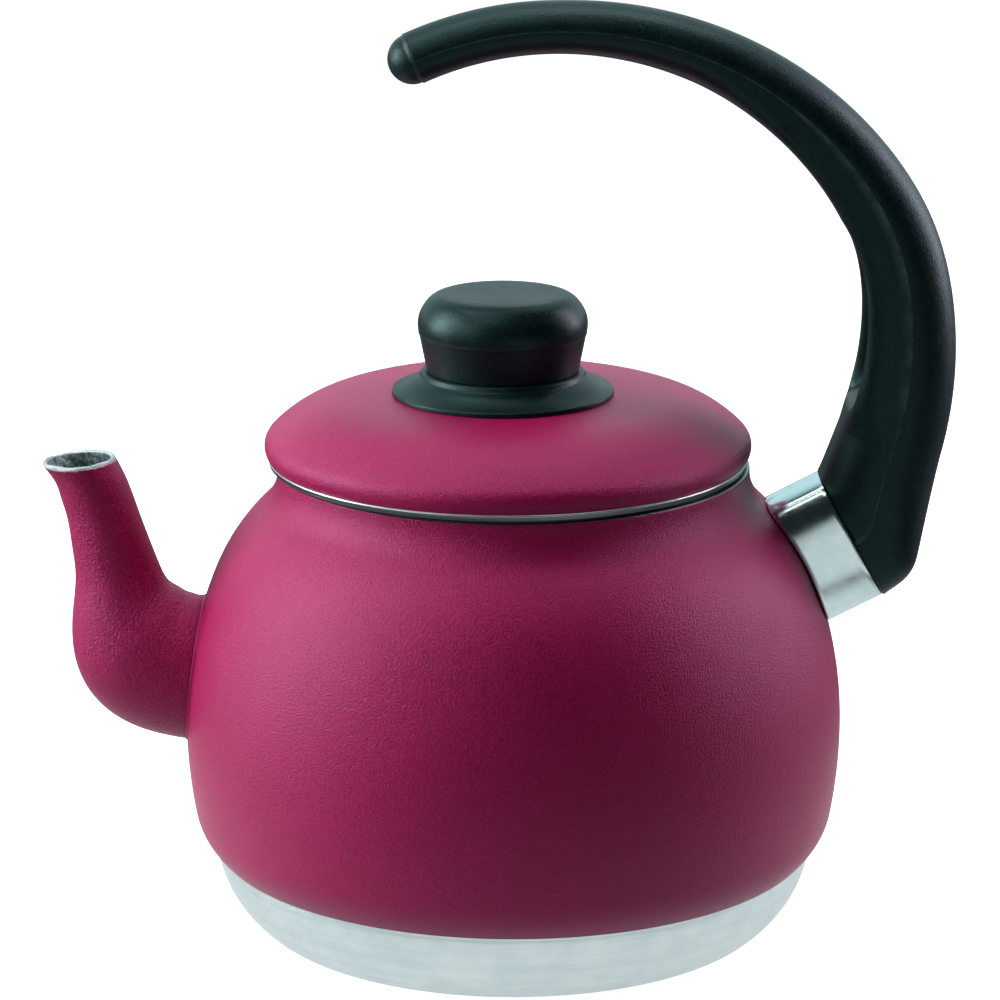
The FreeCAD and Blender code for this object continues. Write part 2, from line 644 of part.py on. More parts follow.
def heel_ovals():
    """Ovals from the flat face up through the heel to where the bow starts."""
    tilt = math.cos(math.radians(SIZES["face_rake"] - SIZES["sleeve_rake"]))
    half_face = SIZES["sleeve_tall"] / 2 / tilt + SIZES["face_margin"]
    face_up = ray(SIZES["face_rake"] + 90) * half_face
    face_width = SIZES["sleeve_wide"] + 2 * SIZES["face_margin"]
    bow_in, bow_out = bow_points(SIZES["heel_angle"])
    back = Part.BezierCurve()
    back.setPoles([bow_out, bow_out + ray(SIZES["heel_angle"] - 90) * SIZES["heel_drop"],
                   FACE_CENTRE - face_up + ray(SIZES["face_rake"]) * SIZES["heel_round"],
                   FACE_CENTRE - face_up])
    front = (FACE_CENTRE + face_up) - bow_in
    ovals = []
    for share in (1, 0.9, 0.75, 0.6, 0.4, 0.2):
        inner = bow_in + front * (1 - (1 - share) ** 2)
        width = SIZES["grip_width"] + (face_width - SIZES["grip_width"]) * share
        power = 2 + (SIZES["inner_power"] - 2) * (1 - share)
        ovals.append(oval_between(inner, back.value(share), width, power))
    return ovals


def bow_ovals():
    """Ovals at even steps round the bow."""
    steps = 10
    sweep = SIZES["tip_angle"] - SIZES["heel_angle"]
    ovals = []
    for step in range(steps + 1):
        degrees = SIZES["heel_angle"] + sweep * step / steps
        inner, outer = bow_points(degrees)
        ovals.append(oval_between(inner, outer, bow_width(degrees), inner_power(degrees)))
    return ovals


def rounded_tip():
    """Half an ellipsoid on the bow's last oval, a small step inside it."""
    inner, outer = bow_points(SIZES["tip_angle"])
    across, centre = (outer - inner) * 0.5, (outer + inner) * 0.5
    across = across * (1 - SIZES["tip_step"] / across.Length)
    onward = ray(SIZES["tip_angle"] + 90) * SIZES["tip_reach"]
    shape = FreeCAD.Matrix(across.x, 0, onward.x, centre.x,
                           0, SIZES["tip_width"] / 2 - SIZES["tip_step"], 0, 0,
                           across.z, 0, onward.z, centre.z,
                           0, 0, 0, 1)
    half_ball = Part.makeSphere(1, Vector(), Vector(0, 0, 1), 0, 90, 360)
    return half_ball.transformGeometry(shape)


def channel_shape():
    """The hollow on the bow's inner side, with ramped ends."""
    start, stop = SIZES["channel_start"], SIZES["channel_end"]
    ramp, steps = SIZES["channel_ramp"], 16
    floor = []
    for step in range(steps + 1):
        degrees = start + (stop - start) * step / steps
        share = min(1, (degrees - start) / ramp, (stop - degrees) / ramp)
        depth = SIZES["channel_depth"] * math.sin(math.radians(90 * share))
        floor.append(BOW_CENTRE + ray(degrees) * (bow_inside(degrees) + depth))
    curve = Part.BSplineCurve()
    curve.interpolate(floor)
    behind = [BOW_CENTRE + ray(a) * (bow_inside(a) - SIZES["channel_depth"])
              for a in (stop, start)]
    outline = Part.Wire([curve.toShape(), Part.LineSegment(floor[-1], behind[0]).toShape(),
                         Part.LineSegment(behind[0], behind[1]).toShape(),
                         Part.LineSegment(behind[1], floor[0]).toShape()])
    slab = Part.Face(outline).extrude(Vector(0, SIZES["channel_width"], 0))
    slab.translate(Vector(0, -SIZES["channel_width"] / 2, 0))
    return slab


grip_form = doc.addObject("Part::Feature", "grip_form")
grip_form.Shape = Part.makeLoft(heel_ovals() + bow_ovals(), True).fuse(rounded_tip())
channel = doc.addObject("Part::Feature", "grip_channel")
channel.Shape = channel_shape()
grip = cut("handle_grip", grip_form, channel,
           HANDLE.rod("grip_socket", "boss_radius + seat_gap", "0 - boss_reach", SOCKET_END),
           HANDLE.rod("grip_insert_hole", "insert_radius + hole_clearance", "0",
                      "%s + insert_length + seat_gap" % SOCKET_END))
piece(grip, "handle_grip")


# ---- lid

def lid_body(name, corners, bends, bores=(), rest="lid_rest"):
    """A turned body of the lid, which lies off the vessel's axis within its play."""
    body = turned_body(name, corners, bends, bores)
    body.setExpression("Placement.Base.x", bound("0 - %s" % rest))
    return body


def knob_body(name, corners, bends, bores=()):
    """A turned body of the knob, which lies off the lid's axis within the screw hole."""
    return lid_body(name, corners, bends, bores, "lid_rest - knob_rest")


# The lid sheet's thickness as steps along each axis where the lid slopes.
STEEP_STEP = "lid_wall * sqrt(2) / 2"
SLOPE_IN = "lid_wall / 2"
SLOPE_DOWN = "lid_wall * sqrt(3) / 2"

lid_corners = [
    ("0", LID_BASE),
    ("neck_radius + lid_edge_out", LID_BASE),
    ("neck_radius + lid_edge_out", "%s + lid_edge_height" % LID_BASE),
    (LID_RADIUS, LID_WIDE),
    ("%s - lid_brow_in" % LID_RADIUS, "%s + lid_brow_up" % LID_WIDE),
    ("%s - lid_slope_in" % LID_RADIUS, "%s + lid_slope_up" % LID_WIDE),
    ("%s - lid_crown_in" % LID_RADIUS, "%s + lid_crown_up" % LID_WIDE),
    ("lid_seat_radius", LID_TOP),
    ("0", LID_TOP),
]
lid_bends = {2: "level_end", 3: "level", 4: "tangent", 5: "tangent", 6: "plumb_end"}
lid_hollow = [
    ("0", LID_BASE),
    ("neck_radius + lid_edge_out - lid_turn_in", LID_BASE),
    ("neck_radius + lid_edge_out - lid_turn_in", "%s + lid_edge_height" % LID_BASE),
    ("%s - lid_wall" % LID_RADIUS, LID_WIDE),
    ("%s - lid_brow_in - %s" % (LID_RADIUS, STEEP_STEP),
     "%s + lid_brow_up - %s" % (LID_WIDE, STEEP_STEP)),
    ("%s - lid_slope_in - %s" % (LID_RADIUS, SLOPE_IN),
     "%s + lid_slope_up - %s" % (LID_WIDE, SLOPE_DOWN)),
    ("%s - lid_crown_in" % LID_RADIUS, "%s + lid_crown_up - lid_wall" % LID_WIDE),
    ("lid_seat_radius", "%s - lid_wall" % LID_TOP),
    ("0", "%s - lid_wall" % LID_TOP),
]
KNOB_BORE = "knob_screw_radius + hole_clearance"
lid = lid_body("lid_shell", lid_corners, lid_bends,
               [(KNOB_BORE + " + knob_rest", "%s - 2 * lid_wall" % LID_TOP, LID_TOP)])
lid_hollow_sketch = body_sketch(lid, "XZ_Plane", "lid_hollow_outline")
draw(lid_hollow_sketch, lid_hollow, {6: "plumb_end"})
lid_groove = lid.newObject("PartDesign::Groove", "lid_hollow")
lid_groove.Profile = lid_hollow_sketch
lid_groove.ReferenceAxis = (lid_hollow_sketch, ["V_Axis"])
lid_groove.Angle = 360
piece(lid, "lid_shell")

RING_OUTSIDE = "(neck_radius - wall - skirt_play)"
RING_INSIDE = "(%s - skirt_sheet)" % RING_OUTSIDE
SEAT_OUTSIDE = "(neck_radius - wall + skirt_seat)"
piece(lid_body("lid_skirt", [
    (RING_INSIDE, "%s - skirt_depth" % RIM_HEIGHT),
    (RING_OUTSIDE, "%s - skirt_depth" % RIM_HEIGHT),
    (RING_OUTSIDE, RIM_HEIGHT),
    (SEAT_OUTSIDE, RIM_HEIGHT),
    (SEAT_OUTSIDE, LID_BASE),
    (RING_INSIDE, LID_BASE),
], {}), "lid_skirt")


# ---- knob, its flange and fixings

piece(knob_body("knob_flange", [
    ("0", LID_TOP),
    ("flange_radius", LID_TOP),
    ("flange_radius", "%s + flange_rim" % LID_TOP),
    ("flange_cone_radius", "%s + flange_cone_up" % LID_TOP),
    ("knob_foot_radius + collar_step", FLANGE_TOP),
    ("0", FLANGE_TOP),
], {2: ("flange_curve", -1)}, [(KNOB_BORE, LID_TOP, FLANGE_TOP)]), "knob_flange")

KNOB_TOP = "(%s + knob_height)" % FLANGE_TOP
piece(knob_body("lid_knob", [
    ("0", FLANGE_TOP),
    ("knob_foot_radius", FLANGE_TOP),
    ("knob_radius - knob_part_in", "%s + knob_part_up" % FLANGE_TOP),
    ("knob_radius", "%s + knob_waist_up" % FLANGE_TOP),
    ("knob_radius - knob_brow_in", "%s - knob_brow_down" % KNOB_TOP),
    ("knob_flat_radius", KNOB_TOP),
    ("0", KNOB_TOP),
], {2: "level_end", 3: "level", 4: "tangent"},
    [("insert_radius + hole_clearance", FLANGE_TOP,
      "%s + insert_length + seat_gap" % FLANGE_TOP)]), "lid_knob")

piece(knob_body("knob_insert", [
    (KNOB_BORE, FLANGE_TOP),
    ("insert_radius", FLANGE_TOP),
    ("insert_radius", "%s + insert_length" % FLANGE_TOP),
    (KNOB_BORE, "%s + insert_length" % FLANGE_TOP),
], {}), "knob_insert")

WASHER_TOP = "(%s - lid_wall)" % LID_TOP
WASHER_BASE = "(%s - washer_thickness)" % WASHER_TOP
piece(knob_body("knob_washer", [
    (KNOB_BORE, WASHER_BASE),
    ("knob_washer_radius", WASHER_BASE),
    ("knob_washer_radius", WASHER_TOP),
    (KNOB_BORE, WASHER_TOP),
], {}), "knob_washer")

piece(knob_body("knob_screw", [
    ("0", "%s - knob_screw_head_height" % WASHER_BASE),
    ("knob_screw_head_radius", "%s - knob_screw_head_height" % WASHER_BASE),
    ("knob_screw_head_radius", WASHER_BASE),
    ("knob_screw_radius", WASHER_BASE),
    ("knob_screw_radius", "%s + knob_screw_engage" % FLANGE_TOP),
    ("0", "%s + knob_screw_engage" % FLANGE_TOP),
], {}), "knob_screw")


# ---- check and write

doc.recompute()
for item in doc.Objects:
    if "Invalid" in item.State or "Error" in item.State:
        raise RuntimeError("%s failed: %s" % (item.Name, item.State))
for item in PIECES:
    if item.Shape.isNull() or not item.Shape.isValid() or item.Shape.Volume <= 0:
        raise RuntimeError("%s has no sound shape" % item.Label)
for body, groove in ((vessel, hollow), (lid, lid_groove)):
    if groove.Shape.Volume >= groove.BaseFeature.Shape.Volume:
        raise RuntimeError("%s cut nothing" % groove.Name)

os.makedirs("parts", exist_ok=True)
for item in PIECES:
    item.Shape.exportStep(os.path.join("parts", item.Label + ".step"))
    box = item.Shape.BoundBox
    print("%-16s %d solid(s) %9.0f mm3  x %.1f..%.1f  y %.1f..%.1f  z %.1f..%.1f" % (
        item.Label, len(item.Shape.Solids), item.Shape.Volume, box.XMin, box.XMax,
        box.YMin, box.YMax, box.ZMin, box.ZMax))
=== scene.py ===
import math

import bpy
import numpy as np
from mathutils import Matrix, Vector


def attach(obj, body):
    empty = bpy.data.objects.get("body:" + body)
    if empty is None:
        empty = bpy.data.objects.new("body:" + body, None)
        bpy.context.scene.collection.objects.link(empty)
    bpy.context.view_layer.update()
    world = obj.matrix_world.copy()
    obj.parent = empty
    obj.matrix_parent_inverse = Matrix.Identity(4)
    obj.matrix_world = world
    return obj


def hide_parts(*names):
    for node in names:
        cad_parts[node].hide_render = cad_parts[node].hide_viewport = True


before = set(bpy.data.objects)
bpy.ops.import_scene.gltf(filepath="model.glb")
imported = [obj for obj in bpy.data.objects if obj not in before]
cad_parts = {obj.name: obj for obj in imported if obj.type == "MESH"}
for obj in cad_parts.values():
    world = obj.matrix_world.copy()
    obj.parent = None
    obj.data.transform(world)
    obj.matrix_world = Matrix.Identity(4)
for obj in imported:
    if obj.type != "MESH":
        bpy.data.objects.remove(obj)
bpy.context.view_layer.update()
print("frame loaded")

# Stovetop kettle. Lengths in the dictionaries are in millimetres, angles in degrees.
mm = 0.001
lidRest = 1.5  # the lid lies this far towards the spout
knobRest = 1.4  # and the knob this much further, in its screw hole
sideways = np.array([0.0, 1.0, 0.0])
fineness = {"arcSteps": 4, "easeSteps": 7, "easeGap": 0.01, "halvings": 40}


def bendCentre(a, b, rule, heading):
    # centre of the arc from a to b: level with an end, straight above or below a, tangent to
    # the edge before, or at (radius, side) from both ends
    x, y = b - a
    reach = x * x + y * y
    if rule == "level":
        return a + [reach / (2 * x), 0]
    if rule == "levelEnd":
        return b - [reach / (2 * x), 0]
    if rule == "plumb":
        return a + [0, reach / (2 * y)]
    if rule == "tangent":
        normal = np.array([-heading[1], heading[0]])
        return a + normal * reach / (2 * (x * normal[0] + y * normal[1]))
    radius, side = rule
    normal = np.array([-y, x]) / math.sqrt(reach) * side
    return (a + b) / 2 + normal * math.sqrt(radius ** 2 - reach / 4)


def outline(corners, bends, spacing):
    # straight edges and arcs between the corners, cut into even steps
    corners = np.array(corners, float)
    heading, runs = np.array([0.0, 1.0]), []
    for number, (a, b) in enumerate(zip(corners[:-1], corners[1:])):
        chord = b - a
        length = math.hypot(*chord)
        if number not in bends:
            count = max(1, math.ceil(length / spacing))
            runs.append(a + chord * (np.arange(count) / count)[:, None])
            heading = chord / length
            continue
        centre = bendCentre(a, b, bends[number], heading)
        start, stop = a - centre, b - centre
        turn = math.atan2(start[0] * stop[1] - start[1] * stop[0], start @ stop)
        count = max(fineness["arcSteps"], math.ceil(abs(turn) * math.hypot(*start) / spacing))
        angle = (turn * np.arange(count) / count)[:, None]
        runs.append(centre + start * np.cos(angle)
                    + np.array([-start[1], start[0]]) * np.sin(angle))
        heading = np.array([-stop[1], stop[0]]) * math.copysign(1, turn) / math.hypot(*stop)
    return np.concatenate(runs + [corners[-1:]])


def travelled(points):
    # distance along the line of points, from the first to each
    return np.r_[0, np.cumsum(np.hypot(*np.diff(points, axis=0).T))]


def eased(profile, corners, steps=fineness["easeSteps"]):
    # each (x, y, reach) corner becomes a curve that leaves its two edges at that reach:
    # end * (1 - t)^2 + corner * 2t(1 - t) + other end * t^2
    for x, y, reach in corners:
        length = travelled(profile)
        nearest = np.argmin(np.hypot(*(profile - [x, y]).T))
        ends = [np.array([np.interp(length[nearest] + side * reach, length, profile[:, axis])
                          for axis in (0, 1)]) for side in (-1, 1)]
        t = np.linspace(0, 1, steps)[:, None]
        curve = ends[0] * (1 - t) ** 2 + profile[nearest] * 2 * t * (1 - t) + ends[1] * t ** 2
        before = length < length[nearest] - reach - fineness["easeGap"]
        after = length > length[nearest] + reach + fineness["easeGap"]
        profile = np.concatenate([profile[before], curve, profile[after]])
    return profile


def facesBetween(rows, cols, ring=False):
    # four-sided faces from each row of points to the next, each row a closed loop
    here, along = np.arange(cols), np.roll(np.arange(cols), -1)
    row = np.arange(rows if ring else rows - 1)[:, None]
    below = (row + 1) % rows
    return np.stack([row * cols + here, row * cols + along,
                     below * cols + along, below * cols + here], -1).reshape(-1, 4)


def surface(name, grid, material, body, replaced=(), ring=False, values=()):
    # rows of points, each row a closed loop; ring joins the last row to the first, and
    # otherwise a point in the middle closes each end row; values are named row-by-point numbers
    rows, cols = grid.shape[:2]
    points, quads = grid.reshape(-1, 3), facesBetween(rows, cols, ring)
    triangles = np.zeros((0, 3), int)
    if not ring:
        here, along = np.arange(cols), np.roll(np.arange(cols), -1)
        first, lastRow = rows * cols, (rows - 1) * cols
        points = np.concatenate([points, grid[:1].mean(1), grid[-1:].mean(1)])
        triangles = np.concatenate([
            np.stack([along, here, np.full(cols, first)], -1),
            np.stack([here + lastRow, along + lastRow, np.full(cols, first + 1)], -1)])
    flat = np.concatenate([quads[:, :3], quads[:, [0, 2, 3]], triangles])
    a, b, c = points[flat[:, 0]], points[flat[:, 1]], points[flat[:, 2]]
    if np.einsum("ij,ij->", a, np.cross(b, c)) < 0:  # inside out
        quads, triangles = quads[:, ::-1], triangles[:, ::-1]
    mesh = bpy.data.meshes.new(name)
    mesh.from_pydata((points * mm).tolist(), [], quads.tolist() + triangles.tolist())
    for key, numbers in dict(values).items():
        numbers = np.broadcast_to(numbers, (rows, cols)).reshape(-1)
        if not ring:
            numbers = np.concatenate([numbers, numbers[:1], numbers[-1:]])
        layer = mesh.attributes.new(key, "FLOAT", "POINT")
        layer.data.foreach_set("value", numbers.astype(np.float32))
    mesh.materials.append(material)
    mesh.shade_smooth()
    piece = bpy.data.objects.new(name, mesh)
    bpy.context.scene.collection.objects.link(piece)
    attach(piece, body)
    if replaced:
        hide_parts(*replaced)
    return piece


def fullTurn(steps):
    return 2 * math.pi * np.arange(steps) / steps


def turned(profile, steps, middle=0.0):
    # the outline's radius and height swept round the upright axis at x = middle
    turn = fullTurn(steps)
    radius, height = profile[:, :1], profile[:, 1:]
    return np.stack([middle + radius * np.cos(turn), radius * np.sin(turn),
                     height + 0 * turn], -1)


def throughPoints(places, numbers, wanted):
    # the natural cubic spline through the numbers, one column each, read at the wanted places
    step = np.diff(places)
    count = len(places)
    system, right = np.eye(count), np.zeros((count, numbers.shape[1]))
    inner = np.arange(1, count - 1)
    system[inner, inner - 1], system[inner, inner + 1] = step[:-1], step[1:]
    system[inner, inner] = 2 * (step[:-1] + step[1:])
    slope = np.diff(numbers, axis=0) / step[:, None]
    right[1:-1] = 6 * np.diff(slope, axis=0)
    bent = np.linalg.solve(system, right)
    span = np.clip(np.searchsorted(places, wanted) - 1, 0, count - 2)
    h = step[span][:, None]
    back, on = (places[span + 1] - wanted)[:, None], (wanted - places[span])[:, None]
    return ((bent[span] * back ** 3 + bent[span + 1] * on ** 3) / (6 * h)
            + (numbers[span] / h - bent[span] * h / 6) * back
            + (numbers[span + 1] / h - bent[span + 1] * h / 6) * on)


def ray(degrees):
    # unit direction in the upright middle plane, measured up from +x
    angle = np.radians(degrees)
    return np.stack([np.cos(angle), 0 * angle, np.sin(angle)], -1)


def smoothStep(low, high, value):
    # 0 up to low, 1 from high on, and 3t^2 - 2t^3 for the share t of the way between them
    share = np.clip((value - low) / (high - low), 0, 1)
    return share * share * (3 - 2 * share)


def bell(distance, width):
    # 1 at distance 0, falling away on both sides as exp(-(distance / width)^2)
    return np.exp(-(distance / width) ** 2)


def squared(value, power):
    # cosine or sine of an oval's turn, made that of a squarer oval with this power
    return np.sign(value) * np.abs(value) ** (2 / power)


def connect(tree, made, inputs):
    # an input is linked where it is given a socket, and set where it is given a value
    for key, value in inputs.items():
        if isinstance(value, bpy.types.NodeSocket):
            tree.links.new(value, made.inputs[key])
        else:
            made.inputs[key].default_value = value
    return made


def node(tree, kind, inputs=(), **settings):
    made = tree.nodes.new("ShaderNode" + kind)
    for key, value in settings.items():
        setattr(made, key, value)
    return connect(tree, made, dict(inputs))


def finish(name):
    material = bpy.data.materials.new(name)
    material.use_nodes = True
    tree = material.node_tree
    place = node(tree, "TexCoord").outputs["Object"]
    return material, tree, tree.nodes["Principled BSDF"], place


def maths(tree, operation, *numbers, clamp=False):
    return node(tree, "Math", dict(enumerate(numbers)), operation=operation,
                use_clamp=clamp).outputs[0]


def noise(tree, place, kind):
    # soft random grain; kind is its size in millimetres, its detail and its roughness
    size, detail, rough = kind
    return node(tree, "TexNoise", {"Vector": place, "Scale": 1 / (size * mm), "Detail": detail,
                                   "Roughness": rough}).outputs["Fac"]


def ramp(tree, value, span, low, high):
    # colour that runs from low to high over the value's span
    made = node(tree, "ValToRGB", {"Fac": value})
    for step, position, colour in zip(made.color_ramp.elements, span, (low, high)):
        step.position, step.color = position, (*colour, 1)[:4]
    return made.outputs["Color"]


def ranged(tree, value, span, ends=(0.0, 1.0), soft=False):
    # number that runs from one end to the other over the value's span
    return node(tree, "MapRange", {
        "Value": value, "From Min": span[0], "From Max": span[1], "To Min": ends[0],
        "To Max": ends[1]}, interpolation_type="SMOOTHSTEP" if soft else "LINEAR").outputs[0]


def mixed(tree, share, first, second):
    return node(tree, "Mix", {0: share, 6: first, 7: second}, data_type="RGBA").outputs[2]


def grey(level):
    return (level, level, level, 1)


def carried(tree, key):
    # the number of this name that the piece's mesh holds at each point
    return node(tree, "Attribute", attribute_name=key).outputs["Fac"]


def drawnOut(tree, place, scale, turn=(0.0, 0.0, 0.0)):
    return node(tree, "Mapping", {"Vector": place, "Scale": scale, "Rotation": turn}).outputs[0]


def bumped(tree, height, depth):
    return node(tree, "Bump", {"Height": height, "Distance": depth * mm}).outputs["Normal"]


# In the looks a noise is its size, detail and roughness, and a span is where its ramp runs.
paintLook = {
    "light": (0.430, 0.0070, 0.100), "dark": (0.375, 0.0045, 0.080),
    "mottle": (22.0, 4.0, 0.6), "mottleSpan": (0.36, 0.66),
    # the peel's two colours are painted light: a painted highlight on its peaks, painted shade
    # in its pits
    "peakHighlight": (0.560, 0.0090, 0.135), "pitShade": (0.225, 0.0022, 0.045),
    "peelSpan": (0.40, 0.60), "peelShare": 0.5, "fineShare": 0.35,
    "roughness": (0.29, 0.41), "roughSpan": (0.35, 0.65),
    "tint": (0.98, 0.48, 1.0, 1), "gloss": 0.52,
}
metalLook = {
    "light": (0.76, 0.88, 0.89), "dark": (0.56, 0.68, 0.70), "span": (0.34, 0.62),
    "broadShare": 0.5, "cloud": (9.0, 3.0, 0.6), "cloudSpan": (0.35, 0.65), "cloudShare": 0.35,
    "roughness": (0.26, 0.42), "roughSpan": (0.3, 0.7), "shade": (0.016, 0.020, 0.022, 1),
    "paintEdge": (1.3, 3.0, 0.55), "edgeLevel": 0.42, "edgeSharpness": 6.0, "ringWander": 0.0006,
}
turnedLook = {
    "peel": (0.52, 2.0, 0.6), "fine": (0.156, 2.0, 0.5), "peelDepth": 0.22,
    "marks": (0.35, 4.0, 0.75), "broad": (2.4, 3.0, 0.6), "dark": (0.56, 0.68, 0.70),
    "markHeight": 0.3, "ragged": 0.25,
}
castLook = {
    "peel": (0.66, 2.0, 0.6), "fine": (0.198, 2.0, 0.5), "peelDepth": 0.42,
    "marks": (0.9, 4.0, 0.75), "broad": (5.0, 3.0, 0.6), "dark": (0.22, 0.28, 0.29),
    "markHeight": 1.6, "ragged": 0.9,
    "deep": (1.5, 4.0, 0.7), "deepSpan": (0.42, 0.66), "deepDark": (0.10, 0.15, 0.16),
    "deepLight": (0.50, 0.62, 0.63),
}
plasticLook = {
    "light": (0.0026, 0.0118, 0.0122), "dark": (0.0016, 0.0078, 0.0082), "span": (0.3, 0.7),
    "cloud": (16.0, 4.0, 0.6), "grain": (0.7, 3.0, 0.65), "grainShare": 0.5, "depth": 0.11,
    "scuff": (0.008, 0.016, 0.016, 1), "scuffSpan": (0.60, 0.78), "scuffMost": 0.3,
    "scuffs": (1.1, 5.0, 0.7), "scuffLay": (1.0, 1.0, 0.12), "scuffTurn": (0.2, 0.5, 0.1),
    "speckle": (0.011, 0.029, 0.030, 1), "speckleSpan": (0.48, 0.70), "speckleMost": 0.75,
    "line": (0.060, 0.095, 0.095, 1), "lineWear": (5.0, 3.0, 0.7), "lineSpan": (0.40, 0.62),
    "lineLeast": 0.25,
    "roughness": (0.33, 0.47), "roughSpan": (0.35, 0.65), "gloss": 0.40,
    "tint": (0.52, 1.0, 0.98, 1),
}
plainLook = {
    "span": (0.35, 0.65), "cloud": (6.0, 3.0, 0.6), "markShare": 0.4, "markDetail": 5.0,
    "markRough": 0.7, "roughSpan": (0.3, 0.7),
}


def latheRings(tree, place, middle):
    # place in a pattern of rings round the upright axis at x = middle: its radius, its height
    # and, between them, a small wander that grows with the angle round the axis
    parts = node(tree, "SeparateXYZ", {"Vector": place}).outputs
    x = maths(tree, "SUBTRACT", parts["X"], middle * mm)
    radius = maths(tree, "SQRT", maths(tree, "ADD", maths(tree, "MULTIPLY", x, x),
                                       maths(tree, "MULTIPLY", parts["Y"], parts["Y"])))
    angle = maths(tree, "ABSOLUTE", maths(tree, "ARCTAN2", parts["Y"], x))
    wander = maths(tree, "MULTIPLY", angle, metalLook["ringWander"])
    return node(tree, "CombineXYZ", {"X": radius, "Y": wander, "Z": parts["Z"]}).outputs[0]


def paintedMetal(name, middle=0.0, cast=False):
    # fine orange-peel paint where the piece's "bare" value is 0, turned or cast metal where it
    # is 1; "shade" darkens the metal in a gap, and "deep" dulls it inside a casting
    material, tree, shader, place = finish(name)
    p, m, look = paintLook, metalLook, castLook if cast else turnedLook
    peel = noise(tree, place, look["peel"])
    fine = noise(tree, place, look["fine"])
    coat = ramp(tree, noise(tree, place, p["mottle"]), p["mottleSpan"], p["dark"], p["light"])
    # the orange peel's relief is painted into the colour as well: painted highlight on the
    # peaks, painted shade in the pits
    coat = mixed(tree, p["peelShare"], coat,
                 ramp(tree, peel, p["peelSpan"], p["pitShade"], p["peakHighlight"]))
    coatHeight = maths(tree, "ADD", peel, maths(tree, "MULTIPLY", fine, p["fineShare"]))

    grain = place if cast else latheRings(tree, place, middle)
    marks, broad = noise(tree, grain, look["marks"]), noise(tree, grain, look["broad"])
    metal = ramp(tree, mixed(tree, m["broadShare"], marks, broad), m["span"], look["dark"],
                 m["light"])
    metal = mixed(tree, m["cloudShare"], metal,
                  ramp(tree, noise(tree, place, m["cloud"]), m["cloudSpan"], m["dark"],
                       m["light"]))
    if cast:
        metal = mixed(tree, carried(tree, "deep"), metal,
                      ramp(tree, noise(tree, place, look["deep"]), look["deepSpan"],
                           look["deepDark"], look["deepLight"]))
    metal = mixed(tree, carried(tree, "shade"), metal, m["shade"])
    metalHeight = maths(tree, "MULTIPLY", marks, look["markHeight"])

    ragged = maths(tree, "SUBTRACT", noise(tree, place, m["paintEdge"]), 0.5)
    bare = maths(tree, "ADD", carried(tree, "bare"),
                 maths(tree, "MULTIPLY", ragged, look["ragged"]))
    bare = maths(tree, "MULTIPLY", maths(tree, "SUBTRACT", bare, m["edgeLevel"]),
                 m["edgeSharpness"], clamp=True)
    connect(tree, shader, {
        "Base Color": mixed(tree, bare, coat, metal),
        "Metallic": bare,
        "Roughness": mixed(tree, bare, ranged(tree, peel, p["roughSpan"], p["roughness"]),
                           ranged(tree, broad, m["roughSpan"], m["roughness"])),
        "Normal": bumped(tree, mixed(tree, bare, coatHeight, metalHeight), look["peelDepth"]),
        "Specular Tint": mixed(tree, bare, p["tint"], grey(1.0)),
        "Specular IOR Level": p["gloss"],
    })
    return material


def blackPlastic(name, outerGrain, innerGrain):
    # moulded plastic, grained where the piece's "outer" value is 1 and smoother where it is 0,
    # with a paler worn line where "line" is 1
    material, tree, shader, place = finish(name)
    p = plasticLook
    cloud, grain = noise(tree, place, p["cloud"]), noise(tree, place, p["grain"])
    scuffs = noise(tree, drawnOut(tree, place, p["scuffLay"], p["scuffTurn"]), p["scuffs"])
    colour = ramp(tree, cloud, p["span"], p["dark"], p["light"])
    for marks, key in ((scuffs, "scuff"), (grain, "speckle")):
        share = ramp(tree, marks, p[key + "Span"], grey(0), grey(p[key + "Most"]))
        colour = mixed(tree, share, colour, p[key])
    wear = ramp(tree, noise(tree, place, p["lineWear"]), p["lineSpan"], grey(p["lineLeast"]),
                grey(1))
    colour = mixed(tree, maths(tree, "MULTIPLY", carried(tree, "line"), wear), colour, p["line"])
    depth = mixed(tree, carried(tree, "outer"), grey(innerGrain), grey(outerGrain))
    connect(tree, shader, {
        "Base Color": colour,
        "Roughness": ranged(tree, mixed(tree, p["grainShare"], cloud, grain), p["roughSpan"],
                            p["roughness"]),
        "Normal": bumped(tree, maths(tree, "MULTIPLY", grain, depth), p["depth"]),
        "Specular IOR Level": p["gloss"],
        "Specular Tint": p["tint"],
    })
    return material


def plainMetal(name, light, dark, roughness, lay=(1.0, 1.0, 1.0), size=0.4, depth=0.01):
    # bare metal with fine marks drawn out along the lay
    material, tree, shader, place = finish(name)
    p = plainLook
    marks = noise(tree, drawnOut(tree, place, lay), (size, p["markDetail"], p["markRough"]))
    cloud = noise(tree, place, p["cloud"])
    connect(tree, shader, {
        "Base Color": ramp(tree, mixed(tree, p["markShare"], cloud, marks), p["span"], dark,
                           light),
        "Metallic": 1.0,
        "Roughness": ranged(tree, marks, p["roughSpan"], roughness),
        "Normal": bumped(tree, marks, depth),
    })
    return material


vesselFinish = paintedMetal("painted vessel")
lidFinish = paintedMetal("painted lid", middle=-lidRest)
spoutFinish = paintedMetal("painted casting", cast=True)
gripFinish = blackPlastic("grip plastic", 1.0, 0.35)
knobFinish = blackPlastic("knob plastic", 0.6, 0.6)
sleeveFinish = plainMetal("sleeve aluminium", (0.69, 0.85, 0.86), (0.58, 0.73, 0.74),
                          (0.12, 0.22), lay=(0.15, 1.0, 0.35), size=0.5, depth=0.006)
zincFinish = plainMetal("plated steel", (0.72, 0.73, 0.72), (0.52, 0.53, 0.52), (0.25, 0.42))
rivetFinish = plainMetal("rivet aluminium", (0.80, 0.81, 0.81), (0.62, 0.63, 0.63), (0.30, 0.50),
                         size=0.8, depth=0.02)
brassFinish = plainMetal("turned brass", (0.74, 0.55, 0.25), (0.50, 0.34, 0.13), (0.22, 0.40),
                         lay=(0.2, 0.2, 1.0))
print("finishes made")


